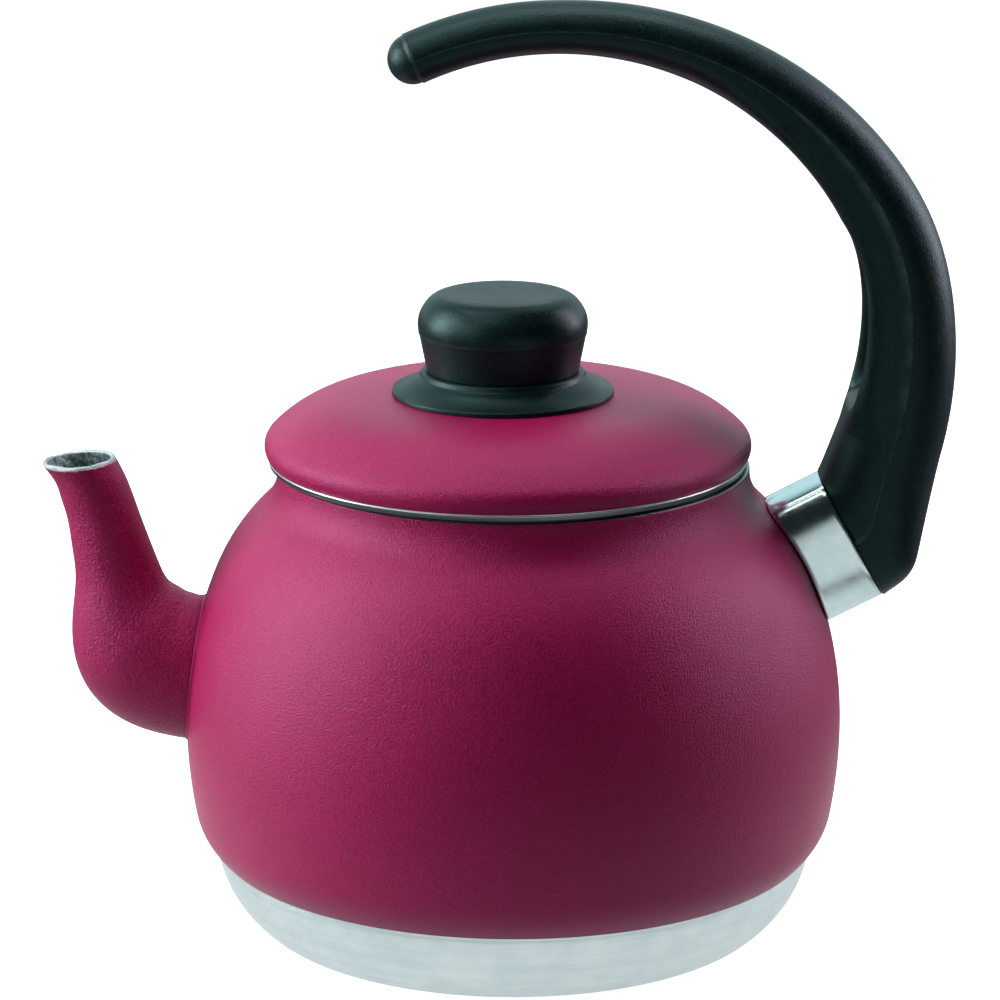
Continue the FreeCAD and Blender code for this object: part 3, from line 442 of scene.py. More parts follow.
vessel = {
    "bellyRadius": 89.99, "bellyHeight": 55.1, "wall": 2.2, "baseThickness": 5.0,
    "floorRadius": 60.0, "bandTop": (82.3, 21.2), "baseRadius": 70.2, "bandCurve": 29.5,
    "flank": (87.8, 30.7), "flankCurve": 17.3, "shoulder": (81.3, 97.9),
    "throat": (68.2, 116.7), "neckRadius": 64.1, "neckFoot": 126.2375, "rim": 127.6,
    "baseEase": 1.3, "edgeEase": 0.7, "paintFoot": 21.22, "paintTop": 127.35, "rimShade": 0.62,
    "ringDepth": 0.16, "ringPitch": 5.5, "ringsFrom": 14.0, "ringsTo": 65.2, "ringsBelow": 0.3,
    "groove": 0.22, "grooveDrop": 0.5, "grooveWidth": 0.4,
    "spacing": 1.5, "insideSpacing": 2.6, "sideSpacing": 0.5, "sideFrom": 0.5, "steps": 288,
}


def vesselOutline(inset):
    # half the outside, drawn in level by inset, from the axis over the base up to the rim
    v = vessel
    corners = [(0, 0), (v["baseRadius"], 0)] + [(radius - inset, height) for radius, height in (
        v["bandTop"], v["flank"], (v["bellyRadius"], v["bellyHeight"]), v["shoulder"],
        v["throat"], (v["neckRadius"], v["neckFoot"]), (v["neckRadius"], v["rim"]))]
    bends = {1: (v["bandCurve"], 1), 2: (v["flankCurve"], 1), 3: "levelEnd", 4: "level",
             5: "tangent", 6: "levelEnd"}
    return corners, bends


def wallRadius(height, inset):
    # the outside outline's radius at this height, less inset
    side = outline(*vesselOutline(0.0), vessel["sideSpacing"])
    side = side[np.argmax(side[:, 1] > vessel["sideFrom"]):]
    return np.interp(height, side[:, 1], side[:, 0]) - inset


def toWall(pointAt, low, high, count, inset):
    # how far along each of count lines its point meets the wall's surface, less inset, found
    # by halving the stretch from low to high
    low, high = np.full(count, low), np.full(count, high)
    for _ in range(fineness["halvings"]):
        middle = (low + high) / 2
        point = pointAt(middle)
        beyond = np.hypot(point[:, 0], point[:, 1]) > wallRadius(point[:, 2], inset)
        low, high = np.where(beyond, low, middle), np.where(beyond, middle, high)
    return middle


def vesselPiece():
    # the outside outline and the one inside the wall, joined over the rim and swept round the
    # axis; underneath, rings rise by depth * (1 - cos(2 pi * radius / pitch)), and below the
    # paint a groove goes in by depth * bell(height)
    v = vessel
    outside = outline(*vesselOutline(0.0), v["spacing"])
    corners, bends = vesselOutline(v["wall"])
    corners[:2] = [(0, v["baseThickness"]), (v["floorRadius"], v["baseThickness"])]
    inside = outline(corners, {**bends, 1: "plumb"}, v["insideSpacing"])[::-1]
    profile = eased(np.concatenate([outside, inside]), [
        (v["baseRadius"], 0, v["baseEase"]), (*v["bandTop"], v["edgeEase"]),
        (v["neckRadius"], v["rim"], v["edgeEase"]),
        (v["neckRadius"] - v["wall"], v["rim"], v["edgeEase"])])
    radius, height = profile.T
    under = (height < v["ringsBelow"]) & (radius > v["ringsFrom"]) & (radius < v["ringsTo"])
    profile[:, 1] += under * v["ringDepth"] * (1 - np.cos(
        2 * math.pi * (radius - v["ringsFrom"]) / v["ringPitch"]))
    outer = np.arange(len(profile)) < np.argmin(np.hypot(
        radius - v["neckRadius"] + v["wall"] / 2, height - v["rim"]))
    profile[:, 0] -= outer * v["groove"] * bell(
        height - v["bandTop"][1] + v["grooveDrop"], v["grooveWidth"])
    bare = 1.0 - (outer & (height > v["paintFoot"]) & (height < v["paintTop"]))
    shade = v["rimShade"] * (height > v["neckFoot"])
    return surface("vesselShell", turned(profile[1:-1], v["steps"]), vesselFinish, "kettle",
                   ["body_shell"],
                   values={"bare": bare[1:-1, None], "shade": shade[1:-1, None]})


vesselShell = vesselPiece()
print("vessel made")


spout = {
    "root": (-88.85, 0.0, 69.5), "lean": 5.9, "tall": 40.25, "wide": 34.0, "mouth": 19.86,
    "reach": 29.25, "rise": 58.5, "rootWall": 3.2, "mouthWall": 1.3, "rootSunk": 1.0,
    "mouthFlare": 0.10, "flareSpan": 0.035, "mouthWaist": 0.8, "waistAt": 0.93,
    "waistSpan": 0.055, "mouthUp": 94.0, "paintEnd": 0.35,
    # waves of the mouth's rim: size of them all, then number, share and shift of each
    "mouthWander": 0.3, "waves": [(2, 1, 0.8), (5, 0.6, 0), (9, 0.4, 2)],
    # over the mouth's rim: share of the way in from the outside, rise
    "rim": [(0.04, 0.2), (0.18, 0.45), (0.4, 0.58), (0.65, 0.54), (0.88, 0.34), (0.98, 0.1)],
    # spigot through the wall's hole, with a lip behind it
    "spigotWall": 1.7, "lip": 2.6, "lipThickness": 1.2, "lipEase": 0.4, "lipGap": 0.02,
    "boreEase": 0.3, "play": 0.3, "holeDepth": 6.0, "holeLength": 16.0, "search": 14.0,
    "outsideRows": 96, "insideRows": 64, "steps": 128,
    # share of the reach, share of the rise, lean of the section, fullness
    "stations": [(0, 0, 84.1, 1), (0.342, 0.056, 62.8, 0.988), (0.520, 0.133, 49.7, 0.898),
                 (0.631, 0.231, 38.2, 0.674), (0.667, 0.347, 25.4, 0.398),
                 (0.677, 0.478, 13.5, 0.156), (0.727, 0.608, 8.0, 0.054),
                 (0.798, 0.759, 8.0, -0.030), (0.889, 0.890, 8.0, -0.030), (1, 1, 4.0, 0)],
}
# bead round the root: growth of the oval, depth in the wall, height above it
collar = [(0.35, 0.9, 0.0), (0.35, 0, 0.25), (0.28, 0, 0.45), (0.1, 0, 0.6), (-0.15, 0, 0.6),
          (-0.35, 0, 0.45), (-0.7, 0.9, 0.0)]
spoutTurn = fullTurn(spout["steps"])
rootSize = np.array([spout["tall"], spout["wide"]])
spigotSize = rootSize - 2 * spout["rootWall"] + 2 * spout["spigotWall"]


def ovalRings(count, hollow):
    # one oval per station: centre + tall half * cos + wide half * sin, drawn in by the casting's
    # wall for the hollow; the stations are read at even steps off a spline through the listed
    s = spout
    listed = np.array(s["stations"], float)
    length = travelled(listed[:, :2] * [s["reach"], s["rise"]])
    stations = throughPoints(length, listed, length[-1] * np.linspace(0, 1, count))
    reach, rise, lean, fullness = stations.T
    narrow = s["mouth"] / 2
    tall = narrow + (s["tall"] - s["mouth"]) / 2 * fullness
    wide = narrow + (np.where(fullness > 0, s["wide"], s["tall"]) - s["mouth"]) / 2 * fullness
    if hollow:
        drawn = s["mouthWall"] + (s["rootWall"] - s["mouthWall"]) * np.maximum(fullness, 0)
        tall, wide = tall - drawn, wide - drawn
    centre = np.array(s["root"]) + np.stack(
        [-s["reach"] * reach, 0 * reach, s["rise"] * rise], -1)
    return (centre[:, None] + ray(lean)[:, None] * (tall[:, None] * np.cos(spoutTurn))[..., None]
            + sideways * (wide[:, None] * np.sin(spoutTurn))[..., None])


def rootOval(size, inset):
    # the root's oval, tall and wide, carried along its axis to the wall's surface, less inset
    s = spout
    tall, wide = size
    ring = (np.array(s["root"]) + ray(90.0 - s["lean"]) * (tall / 2 * np.cos(spoutTurn))[:, None]
            + sideways * (wide / 2 * np.sin(spoutTurn))[:, None])
    out = ray(180.0 - s["lean"])
    distance = toWall(lambda far: ring + out * far[:, None], -s["search"], s["search"],
                      s["steps"], inset)
    return ring + out * distance[:, None], out


def spoutPiece():
    # ovals outside from root to mouth, over the rim, back down inside, and through the vessel's
    # wall to a lip; near the mouth they flare by a bell and are waisted in front by another,
    # and the rim wanders by a sum of three sines
    s = spout
    outside = ovalRings(s["outsideRows"], False)
    inside = ovalRings(s["insideRows"], True)[::-1]
    along = np.linspace(0, 1, s["outsideRows"])
    flare = bell(along[::-1], s["flareSpan"])[:, None, None]
    outside = outside + (outside - outside.mean(1, keepdims=True)) / (
        s["mouth"] / 2) * s["mouthFlare"] * flare
    waist = s["mouthWaist"] * bell(along - s["waistAt"], s["waistSpan"])
    outside[..., 0] += waist[:, None] * (1 - np.cos(spoutTurn)) / 2
    wander = s["mouthWander"] * sum(
        share * np.sin(number * spoutTurn + shift) for number, share, shift in s["waves"])
    outer, inner = outside[-1], inside[0]
    rim = [outer + (inner - outer) * way + ray(s["mouthUp"]) * (rise * (1 + wander))[:, None]
           for way, rise in s["rim"]]
    bore, lip = rootSize - 2 * s["rootWall"], spigotSize + 2 * s["lip"]
    wall = vessel["wall"]
    face = wall + s["lipThickness"]
    inward = [rootOval(size, inset)[0] for size, inset in (
        (bore, face - s["boreEase"]), (bore + 2 * s["boreEase"], face),
        (lip - 2 * s["lipEase"], face), (lip, face - s["lipEase"]), (lip, wall + s["lipGap"]),
        (spigotSize, wall), (spigotSize, s["rootSunk"]), (rootSize, s["rootSunk"]))]
    grid = np.concatenate([outside, rim, inside, inward])
    bare, deep = np.ones(len(grid)), np.zeros(len(grid))
    painted = s["outsideRows"] - 2
    bare[:painted], bare[painted], bare[-1] = 0, s["paintEnd"], 0
    deep[len(outside) + len(rim):-1] = 1
    surface("spoutCasting", grid, spoutFinish, "kettle", ["spout"], ring=True,
            values={"bare": bare[:, None], "deep": deep[:, None]})


def collarPiece():
    # thin rounded bead where casting and vessel meet: the root's oval, grown, set into the wall
    # and stood out from it by the numbers of each row
    rows = []
    for grow, inset, stand in collar:
        ring, out = rootOval(rootSize + 2 * grow, inset)
        rows.append(ring + out * stand)
    surface("spoutCollar", np.array(rows), vesselFinish, "kettle", ["spout_collar"],
            ring=True, values={"bare": 0.0})


def pierced(piece):
    # the hole that the spigot passes through: its oval, with some play, cut along its axis
    low, out = rootOval(spigotSize + 2 * spout["play"], vessel["wall"] + spout["holeDepth"])
    tool = surface("holeTool", np.array([low, low + out * spout["holeLength"]]), spoutFinish,
                   "kettle")
    cut = piece.modifiers.new("hole", "BOOLEAN")
    cut.operation, cut.object, cut.solver = "DIFFERENCE", tool, "EXACT"
    bpy.context.view_layer.update()
    result = piece.evaluated_get(bpy.context.evaluated_depsgraph_get())
    mesh = bpy.data.meshes.new_from_object(result)
    piece.modifiers.clear()
    piece.data = mesh
    mesh.shade_smooth()
    bpy.data.objects.remove(tool)


spoutPiece()
collarPiece()
pierced(vesselShell)
print("spout made")


handle = {"face": (91.95, 0.0, 107.9), "sleeveRake": 27.6, "faceRake": 28.7}
sleeve = {
    "tall": 36.7, "wide": 25.4, "wall": 1.5, "length": 16.7, "gap": 0.35, "edge": 0.3,
    "edgeShare": 0.3, "power": 3.6, "search": (-40.0, 10.0), "rows": 12, "rowMargin": 0.08,
    "steps": 224,
}


def sleevePiece():
    # a tube along the handle's axis, from just off the vessel to the grip's flat face; its
    # section is |up / tall|^power + |side / wide|^power = 1, a squared oval
    s = sleeve
    turn = fullTurn(s["steps"])
    above, aside = squared(np.cos(turn), s["power"]), squared(np.sin(turn), s["power"])
    along, up = ray(handle["sleeveRake"]), ray(handle["sleeveRake"] + 90)
    lean = math.tan(math.radians(handle["faceRake"] - handle["sleeveRake"]))

    def level(inset):
        return (s["tall"] / 2 - inset) * above

    def place(inset, distance):
        return (np.array(handle["face"]) + up * level(inset)[:, None]
                + along * distance[:, None] + sideways * (
                    (s["wide"] / 2 - inset) * aside)[:, None])

    def ends(inset):
        start = toWall(lambda far: place(inset, far), *s["search"], s["steps"], -s["gap"])
        return np.maximum(start, -s["length"]), -level(inset) * lean

    edge, small = s["edge"], s["edge"] * s["edgeShare"]
    profile = [(s["wall"], 0.0), (s["wall"] - small, 0.0), (edge, 0.0), (small, small),
               (0.0, edge)]
    low, high = ends(0.0)
    shares = np.linspace(s["rowMargin"], 1 - s["rowMargin"], s["rows"])
    rows = [place(inset, ends(inset)[0] + back) for inset, back in profile]
    rows += [place(0.0, low + edge + (high - low - 2 * edge) * share) for share in shares]
    rows += [place(inset, ends(inset)[1] - back) for inset, back in profile[::-1]]
    surface("handleSleeve", np.array(rows), sleeveFinish, "kettle", ["handle_ferrule"],
            ring=True)


sleevePiece()
print("sleeve made")


grip = {
    "centre": (12.0, 0.0, 152.9), "radius": 86.3, "tuck": 0.265, "tuckAngle": 22.0,
    "tuckEase": 7.0, "bulge": 0.4, "bulgeAngle": 36.0, "bulgeSpread": 27.0,
    "topThickness": 14.1, "heelThickness": 29.3, "swell": 1.38, "heelAngle": -12.3,
    "tipAngle": 114.5, "width": 26.0, "tipWidth": 17.0, "faceMargin": 0.35,
    "underRise": 35.5, "underRun": 10.1, "underEase": 5.2, "backDrop": 12.15, "backEase": 7.0,
    "innerPower": 7.0, "heelPower": 2.7, "powerStart": 30.0, "powerEnd": 66.0,
    "powerRun": 12.0, "powerFade": 1.5,
    "hollowWidth": 16.2, "hollowDepth": 9.0, "hollowStart": -7.0, "hollowEnd": 30.0,
    "hollowPower": 16, "ramp": 8.5, "topRamp": 17.0,
    "tipStep": 0.3, "tipReach": 6.7, "tipGap": 0.12, "tipLine": 0.2, "lineDepth": 0.10,
    "lineWidth": 0.17, "grainEdge": 0.05, "faceLift": 0.5,
    # rows over the flat face: share of its size, how far back from it
    "faceRows": [(0.5, 0.0), (0.93, 0.0), (0.985, 0.04), (0.996, 0.22)],
    "heelRows": 46, "bowRows": 190, "tipRows": 18, "edgePoints": 40, "easePoints": 16,
    "steps": 176, "lineTurns": [0, 0.4, 0.8, 1.3, 2, 3, 4.5],
}


def bowEdge(degrees):
    # inside and outside points of the bow: its radius tucks in low down and bulges by a bell
    # above, and its thickness swells from the top down to the heel
    g = grip
    below = g["tuckAngle"] - degrees
    inside = g["radius"] - g["tuck"] * (below + np.hypot(below, g["tuckEase"])) / 2
    inside = inside + g["bulge"] * bell(degrees - g["bulgeAngle"], g["bulgeSpread"])
    share = np.maximum(0, (90 - degrees) / (90 - g["heelAngle"]))
    thick = g["topThickness"] + (g["heelThickness"] - g["topThickness"]) * share ** g["swell"]
    out, centre = ray(degrees), np.array(g["centre"])
    return centre + out * inside[..., None], centre + out * (inside + thick)[..., None]


def heelBack(shares, bowOut, corner):
    # underside straight out of the face, eased into the line that runs on down from the bow
    g = grip
    turn = corner + ray(g["underRise"]) * g["underRun"]
    down = bowOut + ray(g["heelAngle"] - 90.0) * g["backDrop"]
    line = np.array([bowOut, down, turn, corner])[:, [0, 2]]
    steps = np.linspace(0, 1, g["edgePoints"])[:-1, None]
    dense = np.concatenate([a + (b - a) * steps for a, b in zip(line[:-1], line[1:])]
                           + [line[-1:]])
    dense = eased(dense, [(*line[1], g["backEase"]), (*line[2], g["underEase"])],
                  g["easePoints"])
    length = travelled(dense)
    x, z = [np.interp(shares * length[-1], length, dense[:, axis]) for axis in (0, 1)]
    return np.stack([x, 0 * x, z], -1)


def gripPiece():
    # ovals from an inner to an outer point: centre + across * cos + sideways * sin, with the
    # inner half squarer than an ellipse, a hollow pressed into it and a fine line at the sides
    g = grip
    close = np.array(g["lineTurns"])
    extra = np.radians(np.concatenate([-close[:0:-1], close]))
    turn = np.unique(np.round(np.concatenate([
        fullTurn(g["steps"]), extra + math.pi / 2, extra + 1.5 * math.pi]), 6))
    out, side = np.cos(turn), np.sin(turn)

    # the heel, between the sleeve's flat face and the foot of the bow
    normal, face = ray(handle["faceRake"]), np.array(handle["face"])
    faceTilt = math.cos(math.radians(handle["faceRake"] - handle["sleeveRake"]))
    faceUp = ray(handle["faceRake"] + 90) * (sleeve["tall"] / 2 / faceTilt + g["faceMargin"])
    faceWide = sleeve["wide"] + 2 * g["faceMargin"]
    bowIn, bowOut = bowEdge(np.array(g["heelAngle"]))
    shares = np.linspace(1, 0, g["heelRows"])[:-1]
    inner = bowIn + (face + faceUp - bowIn) * (1 - (1 - shares[:, None]) ** 2)
    outer = heelBack(shares, bowOut, face - faceUp)
    width = g["width"] + (faceWide - g["width"]) * shares
    power = 2 + (g["heelPower"] - 2) * (1 - shares) + (
        sleeve["power"] - 2) * shares ** g["powerFade"]
    crown = 2 + (sleeve["power"] - 2) * smoothStep(0, 1, shares)

    # the bow, from its foot to the tip
    bow = np.linspace(g["heelAngle"], g["tipAngle"], g["bowRows"])
    bowInner, bowOuter = bowEdge(bow)
    fall = (g["tipAngle"] - bow) / (g["tipAngle"] - g["heelAngle"])
    ramps = np.minimum(np.minimum(1, (bow - g["hollowStart"]) / g["ramp"]),
                       (g["hollowEnd"] - bow) / g["topRamp"])
    inner, outer = np.concatenate([inner, bowInner]), np.concatenate([outer, bowOuter])
    width = np.concatenate([width, g["tipWidth"] + (g["width"] - g["tipWidth"]) * fall])
    full = smoothStep(g["powerEnd"], g["powerStart"], bow)
    square = full * smoothStep(g["heelAngle"], g["heelAngle"] + g["powerRun"], bow)
    power = np.concatenate([power, 2 + (g["heelPower"] - 2) * full + (
        g["innerPower"] - g["heelPower"]) * square])
    crown = np.concatenate([crown, 2 + 0 * bow])
    hollow = np.concatenate([0 * shares, g["hollowDepth"] * smoothStep(0, 1, ramps)])

    # the ovals, with the hollow pressed into their inner half
    half = (outer - inner) / 2
    centre = (outer + inner) / 2
    reach = np.linalg.norm(half, axis=-1)
    across = half / reach[:, None]
    shape = np.where(out < 0, power[:, None], crown[:, None])
    bowed = squared(out, shape) * reach[:, None]
    spread = squared(side, shape) * width[:, None] / 2
    gate = (out < 0) / (1 + (np.abs(spread) / (g["hollowWidth"] / 2)) ** g["hollowPower"])
    floor = bowed + hollow[:, None] * gate
    line = bell(bowed, g["lineWidth"])
    line[-1] = 0
    spread = spread - np.sign(side) * g["lineDepth"] * line
    rings = (centre[:, None] + across[:, None] * floor[..., None]
             + sideways * spread[..., None])

    # the flat face, drawn in at its edge, and the rounded tip with its small step
    start = [face + (rings[0] - face) * scale + normal * back for scale, back in g["faceRows"]]
    rings[0] = rings[0] + normal * g["faceLift"]
    rounded = np.sin(np.linspace(0, math.pi / 2, g["tipRows"]))[:-1]
    step = 1 - g["tipStep"] / reach[-1]
    tip = [centre[-1] + (rings[-1] - centre[-1]) * (step * math.sqrt(1 - far ** 2))
           + ray(g["tipAngle"] + 90.0) * (g["tipReach"] * far + g["tipGap"]) for far in rounded]
    grid = np.concatenate([np.array(start), rings, np.array(tip)])
    before, after = np.zeros((len(start), len(turn))), np.zeros((len(tip), len(turn)))
    grained = smoothStep(-g["grainEdge"], g["grainEdge"], out) * np.ones_like(bowed)
    seam = np.concatenate([before, line, after])
    seam[len(start) + len(rings) - 1] = g["tipLine"]
    surface("handleGrip", grid, gripFinish, "kettle", ["handle_grip"],
            values={"outer": np.concatenate([before, grained, after + 1]), "line": seam})


gripPiece()
print("grip made")


lid = {
    "edge": (64.8, 128.4), "edgeTop": 129.9, "widest": (66.0, 133.2), "brow": (64.9, 136.2),
    "slope": (59.1, 141.0), "crown": (45.0, 146.2), "seat": (31.6, 147.0), "wall": 1.8,
    "turnIn": 3.8, "hole": 4.2, "bead": 0.22, "beadTop": 0.2, "beadFoot": 0.45,
    "edgeEase": 0.35, "beadEase": 0.25, "turnEase": 0.3, "browEase": 1.5,
    "paintFrom": 130.05, "edgeShade": 0.80, "shadeBelow": 129.5, "shadeOutside": 60.0,
    "spacing": 1.3, "insideSpacing": 2.2, "steps": 256,
}
skirt = {
    "outside": 60.1, "sheet": 0.8, "low": 118.1, "rim": 127.6, "top": 128.4, "seat": 63.6,
    "rimEase": 0.5, "seatEase": 0.2, "footEase": 0.25, "shade": 0.96, "shadeFrom": 0.6,
    "shadeFull": 1.6, "spacing": 1.6,
}


def lidPiece():
    # the domed outside with a small bead at its edge, and the inside a wall's thickness below,
    # each slanting point of it drawn in square to the slope; swept round the lid's own axis
    d = lid
    (edge, foot), top, wall = d["edge"], d["edgeTop"], d["wall"]
    steep, inner = wall * math.sqrt(0.5), edge - d["turnIn"]
    outside = outline([
        (d["hole"], d["seat"][1]), d["seat"], d["crown"], d["slope"], d["brow"], d["widest"],
        (edge, top), (edge + d["bead"], top - d["beadTop"]), (edge, top - d["beadFoot"]),
        d["edge"]],
        {1: "plumb", 2: "tangent", 3: "tangent", 4: "levelEnd", 5: "level"}, d["spacing"])
    inside = outline([
        d["edge"], (inner, foot), (inner, top), (d["widest"][0] - wall, d["widest"][1]),
        (d["brow"][0] - steep, d["brow"][1] - steep),
        (d["slope"][0] - wall / 2, d["slope"][1] - wall * math.sqrt(0.75)),
        (d["crown"][0], d["crown"][1] - wall), (d["seat"][0], d["seat"][1] - wall),
        (d["hole"], d["seat"][1] - wall)], {}, d["insideSpacing"])
    profile = eased(np.concatenate([outside[:-1], inside]), [
        (edge, foot, d["edgeEase"]), (edge, top, d["beadEase"]), (inner, foot, d["turnEase"]),
        (d["brow"][0] - steep, d["brow"][1] - steep, d["browEase"])])
    corner = np.argmin(np.hypot(*(profile - d["edge"]).T))
    radius, height = profile.T
    bare = 1.0 - ((np.arange(len(profile)) < corner) & (height > d["paintFrom"]))
    shade = d["edgeShade"] * ((height < d["shadeBelow"]) & (radius > d["shadeOutside"]))
    surface("lidShell", turned(profile, d["steps"], -lidRest), lidFinish, "lid",
            ["lid_shell"], ring=True,
            values={"bare": bare[:, None], "shade": shade[:, None]})


def skirtPiece():
    # a plain upright ring with a flange over the vessel's rim, swept round the lid's axis; the
    # flange is shaded by a smooth step of its radius
    s = skirt
    inside = s["outside"] - s["sheet"]
    profile = outline([
        (s["outside"], s["low"]), (s["outside"], s["rim"]), (s["seat"], s["rim"]),
        (s["seat"], s["top"]), (inside, s["top"]), (inside, s["low"]), (s["outside"], s["low"])],
        {}, s["spacing"])[:-1]
    profile = eased(profile, [
        (s["outside"], s["rim"], s["rimEase"]), (s["seat"], s["rim"], s["seatEase"]),
        (s["seat"], s["top"], s["seatEase"]), (inside, s["low"], s["footEase"])])
    shade = s["shade"] * smoothStep(s["outside"] + s["shadeFrom"], s["outside"] + s["shadeFull"],
                                    profile[:, 0])
    surface("lidRing", turned(profile, lid["steps"], -lidRest), lidFinish, "lid",
            ["lid_skirt"], ring=True,
            values={"bare": 1.0, "shade": shade[:, None]})


lidPiece()
skirtPiece()
print("lid made")


knob = {
    "foot": (20.6, 153.4), "part": (22.65, 163.8), "widest": (22.95, 166.2),
    "brow": (21.1, 171.5), "flat": (15.6, 174.5), "insert": 4.8, "insertTop": 164.7,
    "flatEase": 1.6, "footEase": 0.3, "partRidge": 0.09, "ridgeWidth": 0.16,
    "partStep": 0.06, "stepRun": 0.5, "sideFrom": 15.0, "footInner": 18.6,
    "lineStrength": 0.55, "dish": 0.05, "dishFrom": 0.6, "dishFull": 3.5, "dishAbove": 174.48,
    "spacing": 0.6, "steps": 224,
}
flange = {
    "radius": 30.0, "low": 147.0, "rim": 1.3, "cone": (24.3, 151.0), "curve": 14.0,
    "collar": (21.9, 153.4), "collarFoot": (22.6, 151.9), "hole": 2.8,
    "lowEase": 0.35, "rimEase": 0.4, "coneEase": 0.8, "footEase": 0.5, "collarEase": 0.45,
    "spacing": 0.6,
}


def knobPiece():
    # the outline swept round the knob's axis, with a ridge, height * bell, and a smooth step
    # at the mould's parting line, and a flat top dished by a smooth step of the radius
    k = knob
    profile = outline([
        (0, k["flat"][1]), k["flat"], k["brow"], k["widest"], k["part"], k["foot"],
        (k["insert"], k["foot"][1]), (k["insert"], k["insertTop"]), (0, k["insertTop"])],
        {1: "plumb", 2: "levelEnd", 3: "level"}, k["spacing"])
    profile = eased(profile, [(*k["flat"], k["flatEase"]), (*k["foot"], k["footEase"])])
    radius, height = profile.T
    outer = np.arange(len(profile)) < np.argmin(np.hypot(
        radius - k["footInner"], height - k["foot"][1]))
    gap = height - k["part"][1]
    ridge, onSide = bell(gap, k["ridgeWidth"]), radius > k["sideFrom"]
    profile[:, 0] += outer * onSide * (
        k["partRidge"] * ridge - k["partStep"] * smoothStep(0, k["stepRun"], -gap))
    profile[:, 1] -= outer * (height > k["dishAbove"]) * k["dish"] * smoothStep(
        k["flat"][0] - k["dishFrom"], k["flat"][0] - k["dishFull"], radius)
    line = k["lineStrength"] * outer * ridge * onSide
    grid = turned(profile[1:-1], k["steps"], -lidRest - knobRest)
    surface("lidKnob", grid, knobFinish, "lid", ["lid_knob"],
            values={"outer": 1.0, "line": line[1:-1, None]})


def flangePiece():
    # a low hollow-sided cone and a short collar above it, swept round the knob's axis
    f = flange
    rim = f["low"] + f["rim"]
    profile = outline([
        (f["hole"], f["low"]), (f["radius"], f["low"]), (f["radius"], rim), f["cone"],
        f["collarFoot"], f["collar"], (f["hole"], f["collar"][1]), (f["hole"], f["low"])],
        {2: (f["curve"], -1)}, f["spacing"])[:-1]
    profile = eased(profile, [
        (f["radius"], f["low"], f["lowEase"]), (f["radius"], rim, f["rimEase"]),
        (*f["cone"], f["coneEase"]), (*f["collarFoot"], f["footEase"]),
        (*f["collar"], f["collarEase"])])
    grid = turned(profile, knob["steps"], -lidRest - knobRest)
    surface("knobFlange", grid, knobFinish, "lid", ["knob_flange"],
            ring=True, values={"outer": 1.0, "line": 0.0})


knobPiece()
flangePiece()
print("knob made")


# Small fixings keep their CAD shape.
fixings = {
    "handle_bracket": zincFinish, "bracket_rivets": rivetFinish, "handle_screw": zincFinish,
    "handle_washer": zincFinish, "handle_insert": brassFinish, "knob_insert": brassFinish,
    "knob_washer": zincFinish, "knob_screw": zincFinish,
}
for name, material in fixings.items():
    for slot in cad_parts[name].material_slots:
        slot.material = material
print("fixings finished")


studio = {
    "target": (-3.66, 0.0, 116.86), "distance": 1100.0, "elevation": 15.0, "focal": 145.375,
    "sensor": 36.0, "clip": (50.0, 30000.0),
    "floorRadius": (60.0, 9000.0), "floorRings": 24, "floorSteps": 96,
    "floorSeen": 0.90, "floorFleck": 0.985, "fleck": (40.0, 4.0, 0.55), "fleckSpan": (0.3, 0.7),
    "floorLit": 0.10, "floorGlow": 0.75, "glowNear": 130.0, "glowFar": 300.0,
    "glossGlow": 0.72, "softGlow": 0.16, "floorRoughness": 0.85, "floorGloss": 0.1,
    # sides of the patch that glows in reflections: axis, where it is dark, where it is full
    "patch": [("X", 40, 110), ("X", 420, 260), ("Y", -180, -300)],
    "front": 0.02, "back": 0.90, "backSpan": (0.25, 0.9), "backdrop": 1.1,
    "skyLight": (0.73, 0.95, 1.0, 1),
    # position, aim, width, height, watts, colour
    "lights": [((-1225, 90, 520), (0, 0, 90), 600, 1000, 17.5, (1, 1, 1)),
               ((-1000, -700, 650), (0, 0, 90), 700, 900, 3.4, (1, 1, 1)),
               ((1150, 420, 560), (0, 0, 100), 600, 1000, 11.0, (1, 0.84, 1)),
               ((-330, -450, 1250), (0, 0, 130), 600, 350, 1.6, (1, 1, 1)),
               ((-60, 260, 1450), (0, 0, 100), 1500, 420, 9.0, (0.96, 1, 1))],
}


def floorFinish():
    # pale where it is seen; it throws light back at the kettle only from close by, and in
    # reflections from the patch too
    s = studio
    material, tree, shader, place = finish("pale floor")
    rays = node(tree, "LightPath").outputs
    seen, gloss = rays["Is Camera Ray"], rays["Is Glossy Ray"]
    reach = node(tree, "VectorMath", {0: place}, operation="LENGTH").outputs["Value"]
    near = ranged(tree, reach, (s["glowNear"] * mm, s["glowFar"] * mm), (1.0, 0.0), soft=True)
    parts = node(tree, "SeparateXYZ", {"Vector": place}).outputs
    sides = [ranged(tree, parts[axis], (low * mm, high * mm), soft=True)
             for axis, low, high in s["patch"]]
    patch = maths(tree, "MULTIPLY", sides[0], maths(tree, "MULTIPLY", sides[1], sides[2]))
    near = maths(tree, "MAXIMUM", near, maths(tree, "MULTIPLY", patch, gloss))
    thrown = ranged(tree, gloss, (0.0, 1.0), (s["softGlow"], s["glossGlow"]))
    pale = ramp(tree, noise(tree, place, s["fleck"]), s["fleckSpan"],
                grey(s["floorSeen"] * s["floorFleck"]), grey(s["floorSeen"]))
    connect(tree, shader, {
        "Base Color": mixed(tree, seen, grey(s["floorLit"]), pale),
        "Roughness": s["floorRoughness"], "Specular IOR Level": s["floorGloss"],
        "Emission Color": grey(1.0),
        "Emission Strength": mixed(tree, seen, maths(tree, "MULTIPLY", near, thrown),
                                   grey(s["floorGlow"]))})
    return material


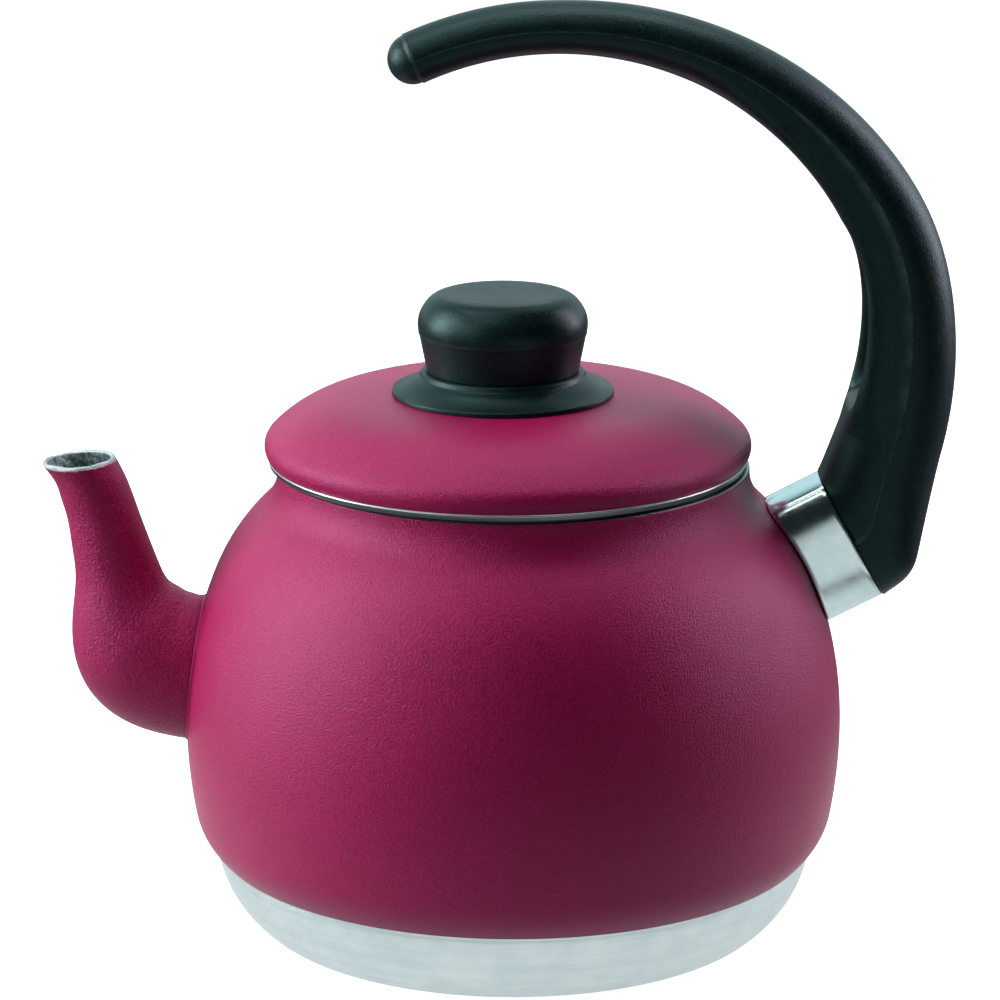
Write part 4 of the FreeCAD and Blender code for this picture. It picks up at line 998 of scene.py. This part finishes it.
def floorPiece():
    # a wide disc whose rings grow outwards, level at the kettle's base
    s = studio
    turn = fullTurn(s["floorSteps"])
    radius = np.geomspace(*s["floorRadius"], s["floorRings"])[:, None]
    grid = np.stack([radius * np.cos(turn), radius * np.sin(turn), 0 * radius * turn], -1)
    faces = facesBetween(*grid.shape[:2])[:, ::-1].tolist() + [list(range(s["floorSteps"]))]
    mesh = bpy.data.meshes.new("studioFloor")
    mesh.from_pydata((grid.reshape(-1, 3) * mm).tolist(), [], faces)
    mesh.materials.append(floorFinish())
    floor = bpy.data.objects.new("studioFloor", mesh)
    bpy.context.scene.collection.objects.link(floor)


def surroundings():
    # white where it is seen; as light it is bright low down behind the kettle, dark in front
    world = bpy.data.worlds.new("studio")
    world.use_nodes = True
    tree = world.node_tree
    seen = node(tree, "LightPath").outputs["Is Camera Ray"]
    direction = node(tree, "SeparateXYZ", {
        "Vector": node(tree, "TexCoord").outputs["Generated"]}).outputs["Y"]
    behind = ranged(tree, direction, studio["backSpan"], (studio["front"], studio["back"]),
                    soft=True)
    connect(tree, tree.nodes["Background"], {
        "Color": mixed(tree, seen, studio["skyLight"], grey(1.0)),
        "Strength": mixed(tree, seen, behind, grey(studio["backdrop"]))})
    bpy.context.scene.world = world


def aimed(thing, position, target):
    thing.location = [c * mm for c in position]
    heading = Vector(target) - Vector(position)
    thing.rotation_euler = heading.to_track_quat("-Z", "Y").to_euler()
    bpy.context.scene.collection.objects.link(thing)


floorPiece()
surroundings()
for number, (position, target, width, height, watts, colour) in enumerate(studio["lights"]):
    lamp = bpy.data.lights.new("softbox%d" % number, "AREA")
    lamp.shape, lamp.size, lamp.size_y, lamp.energy = "RECTANGLE", width * mm, height * mm, watts
    lamp.color = colour
    aimed(bpy.data.objects.new("softbox%d" % number, lamp), position, target)

view = bpy.data.cameras.new("camera")
view.lens, view.sensor_width = studio["focal"], studio["sensor"]
view.clip_start, view.clip_end = [c * mm for c in studio["clip"]]
camera = bpy.data.objects.new("camera", view)
elevation = math.radians(studio["elevation"])
away = np.array([0, -math.cos(elevation), math.sin(elevation)]) * studio["distance"]
aimed(camera, tuple(np.array(studio["target"]) + away), studio["target"])
bpy.context.scene.camera = camera
bpy.context.scene.view_settings.view_transform = "Standard"
print("studio made")
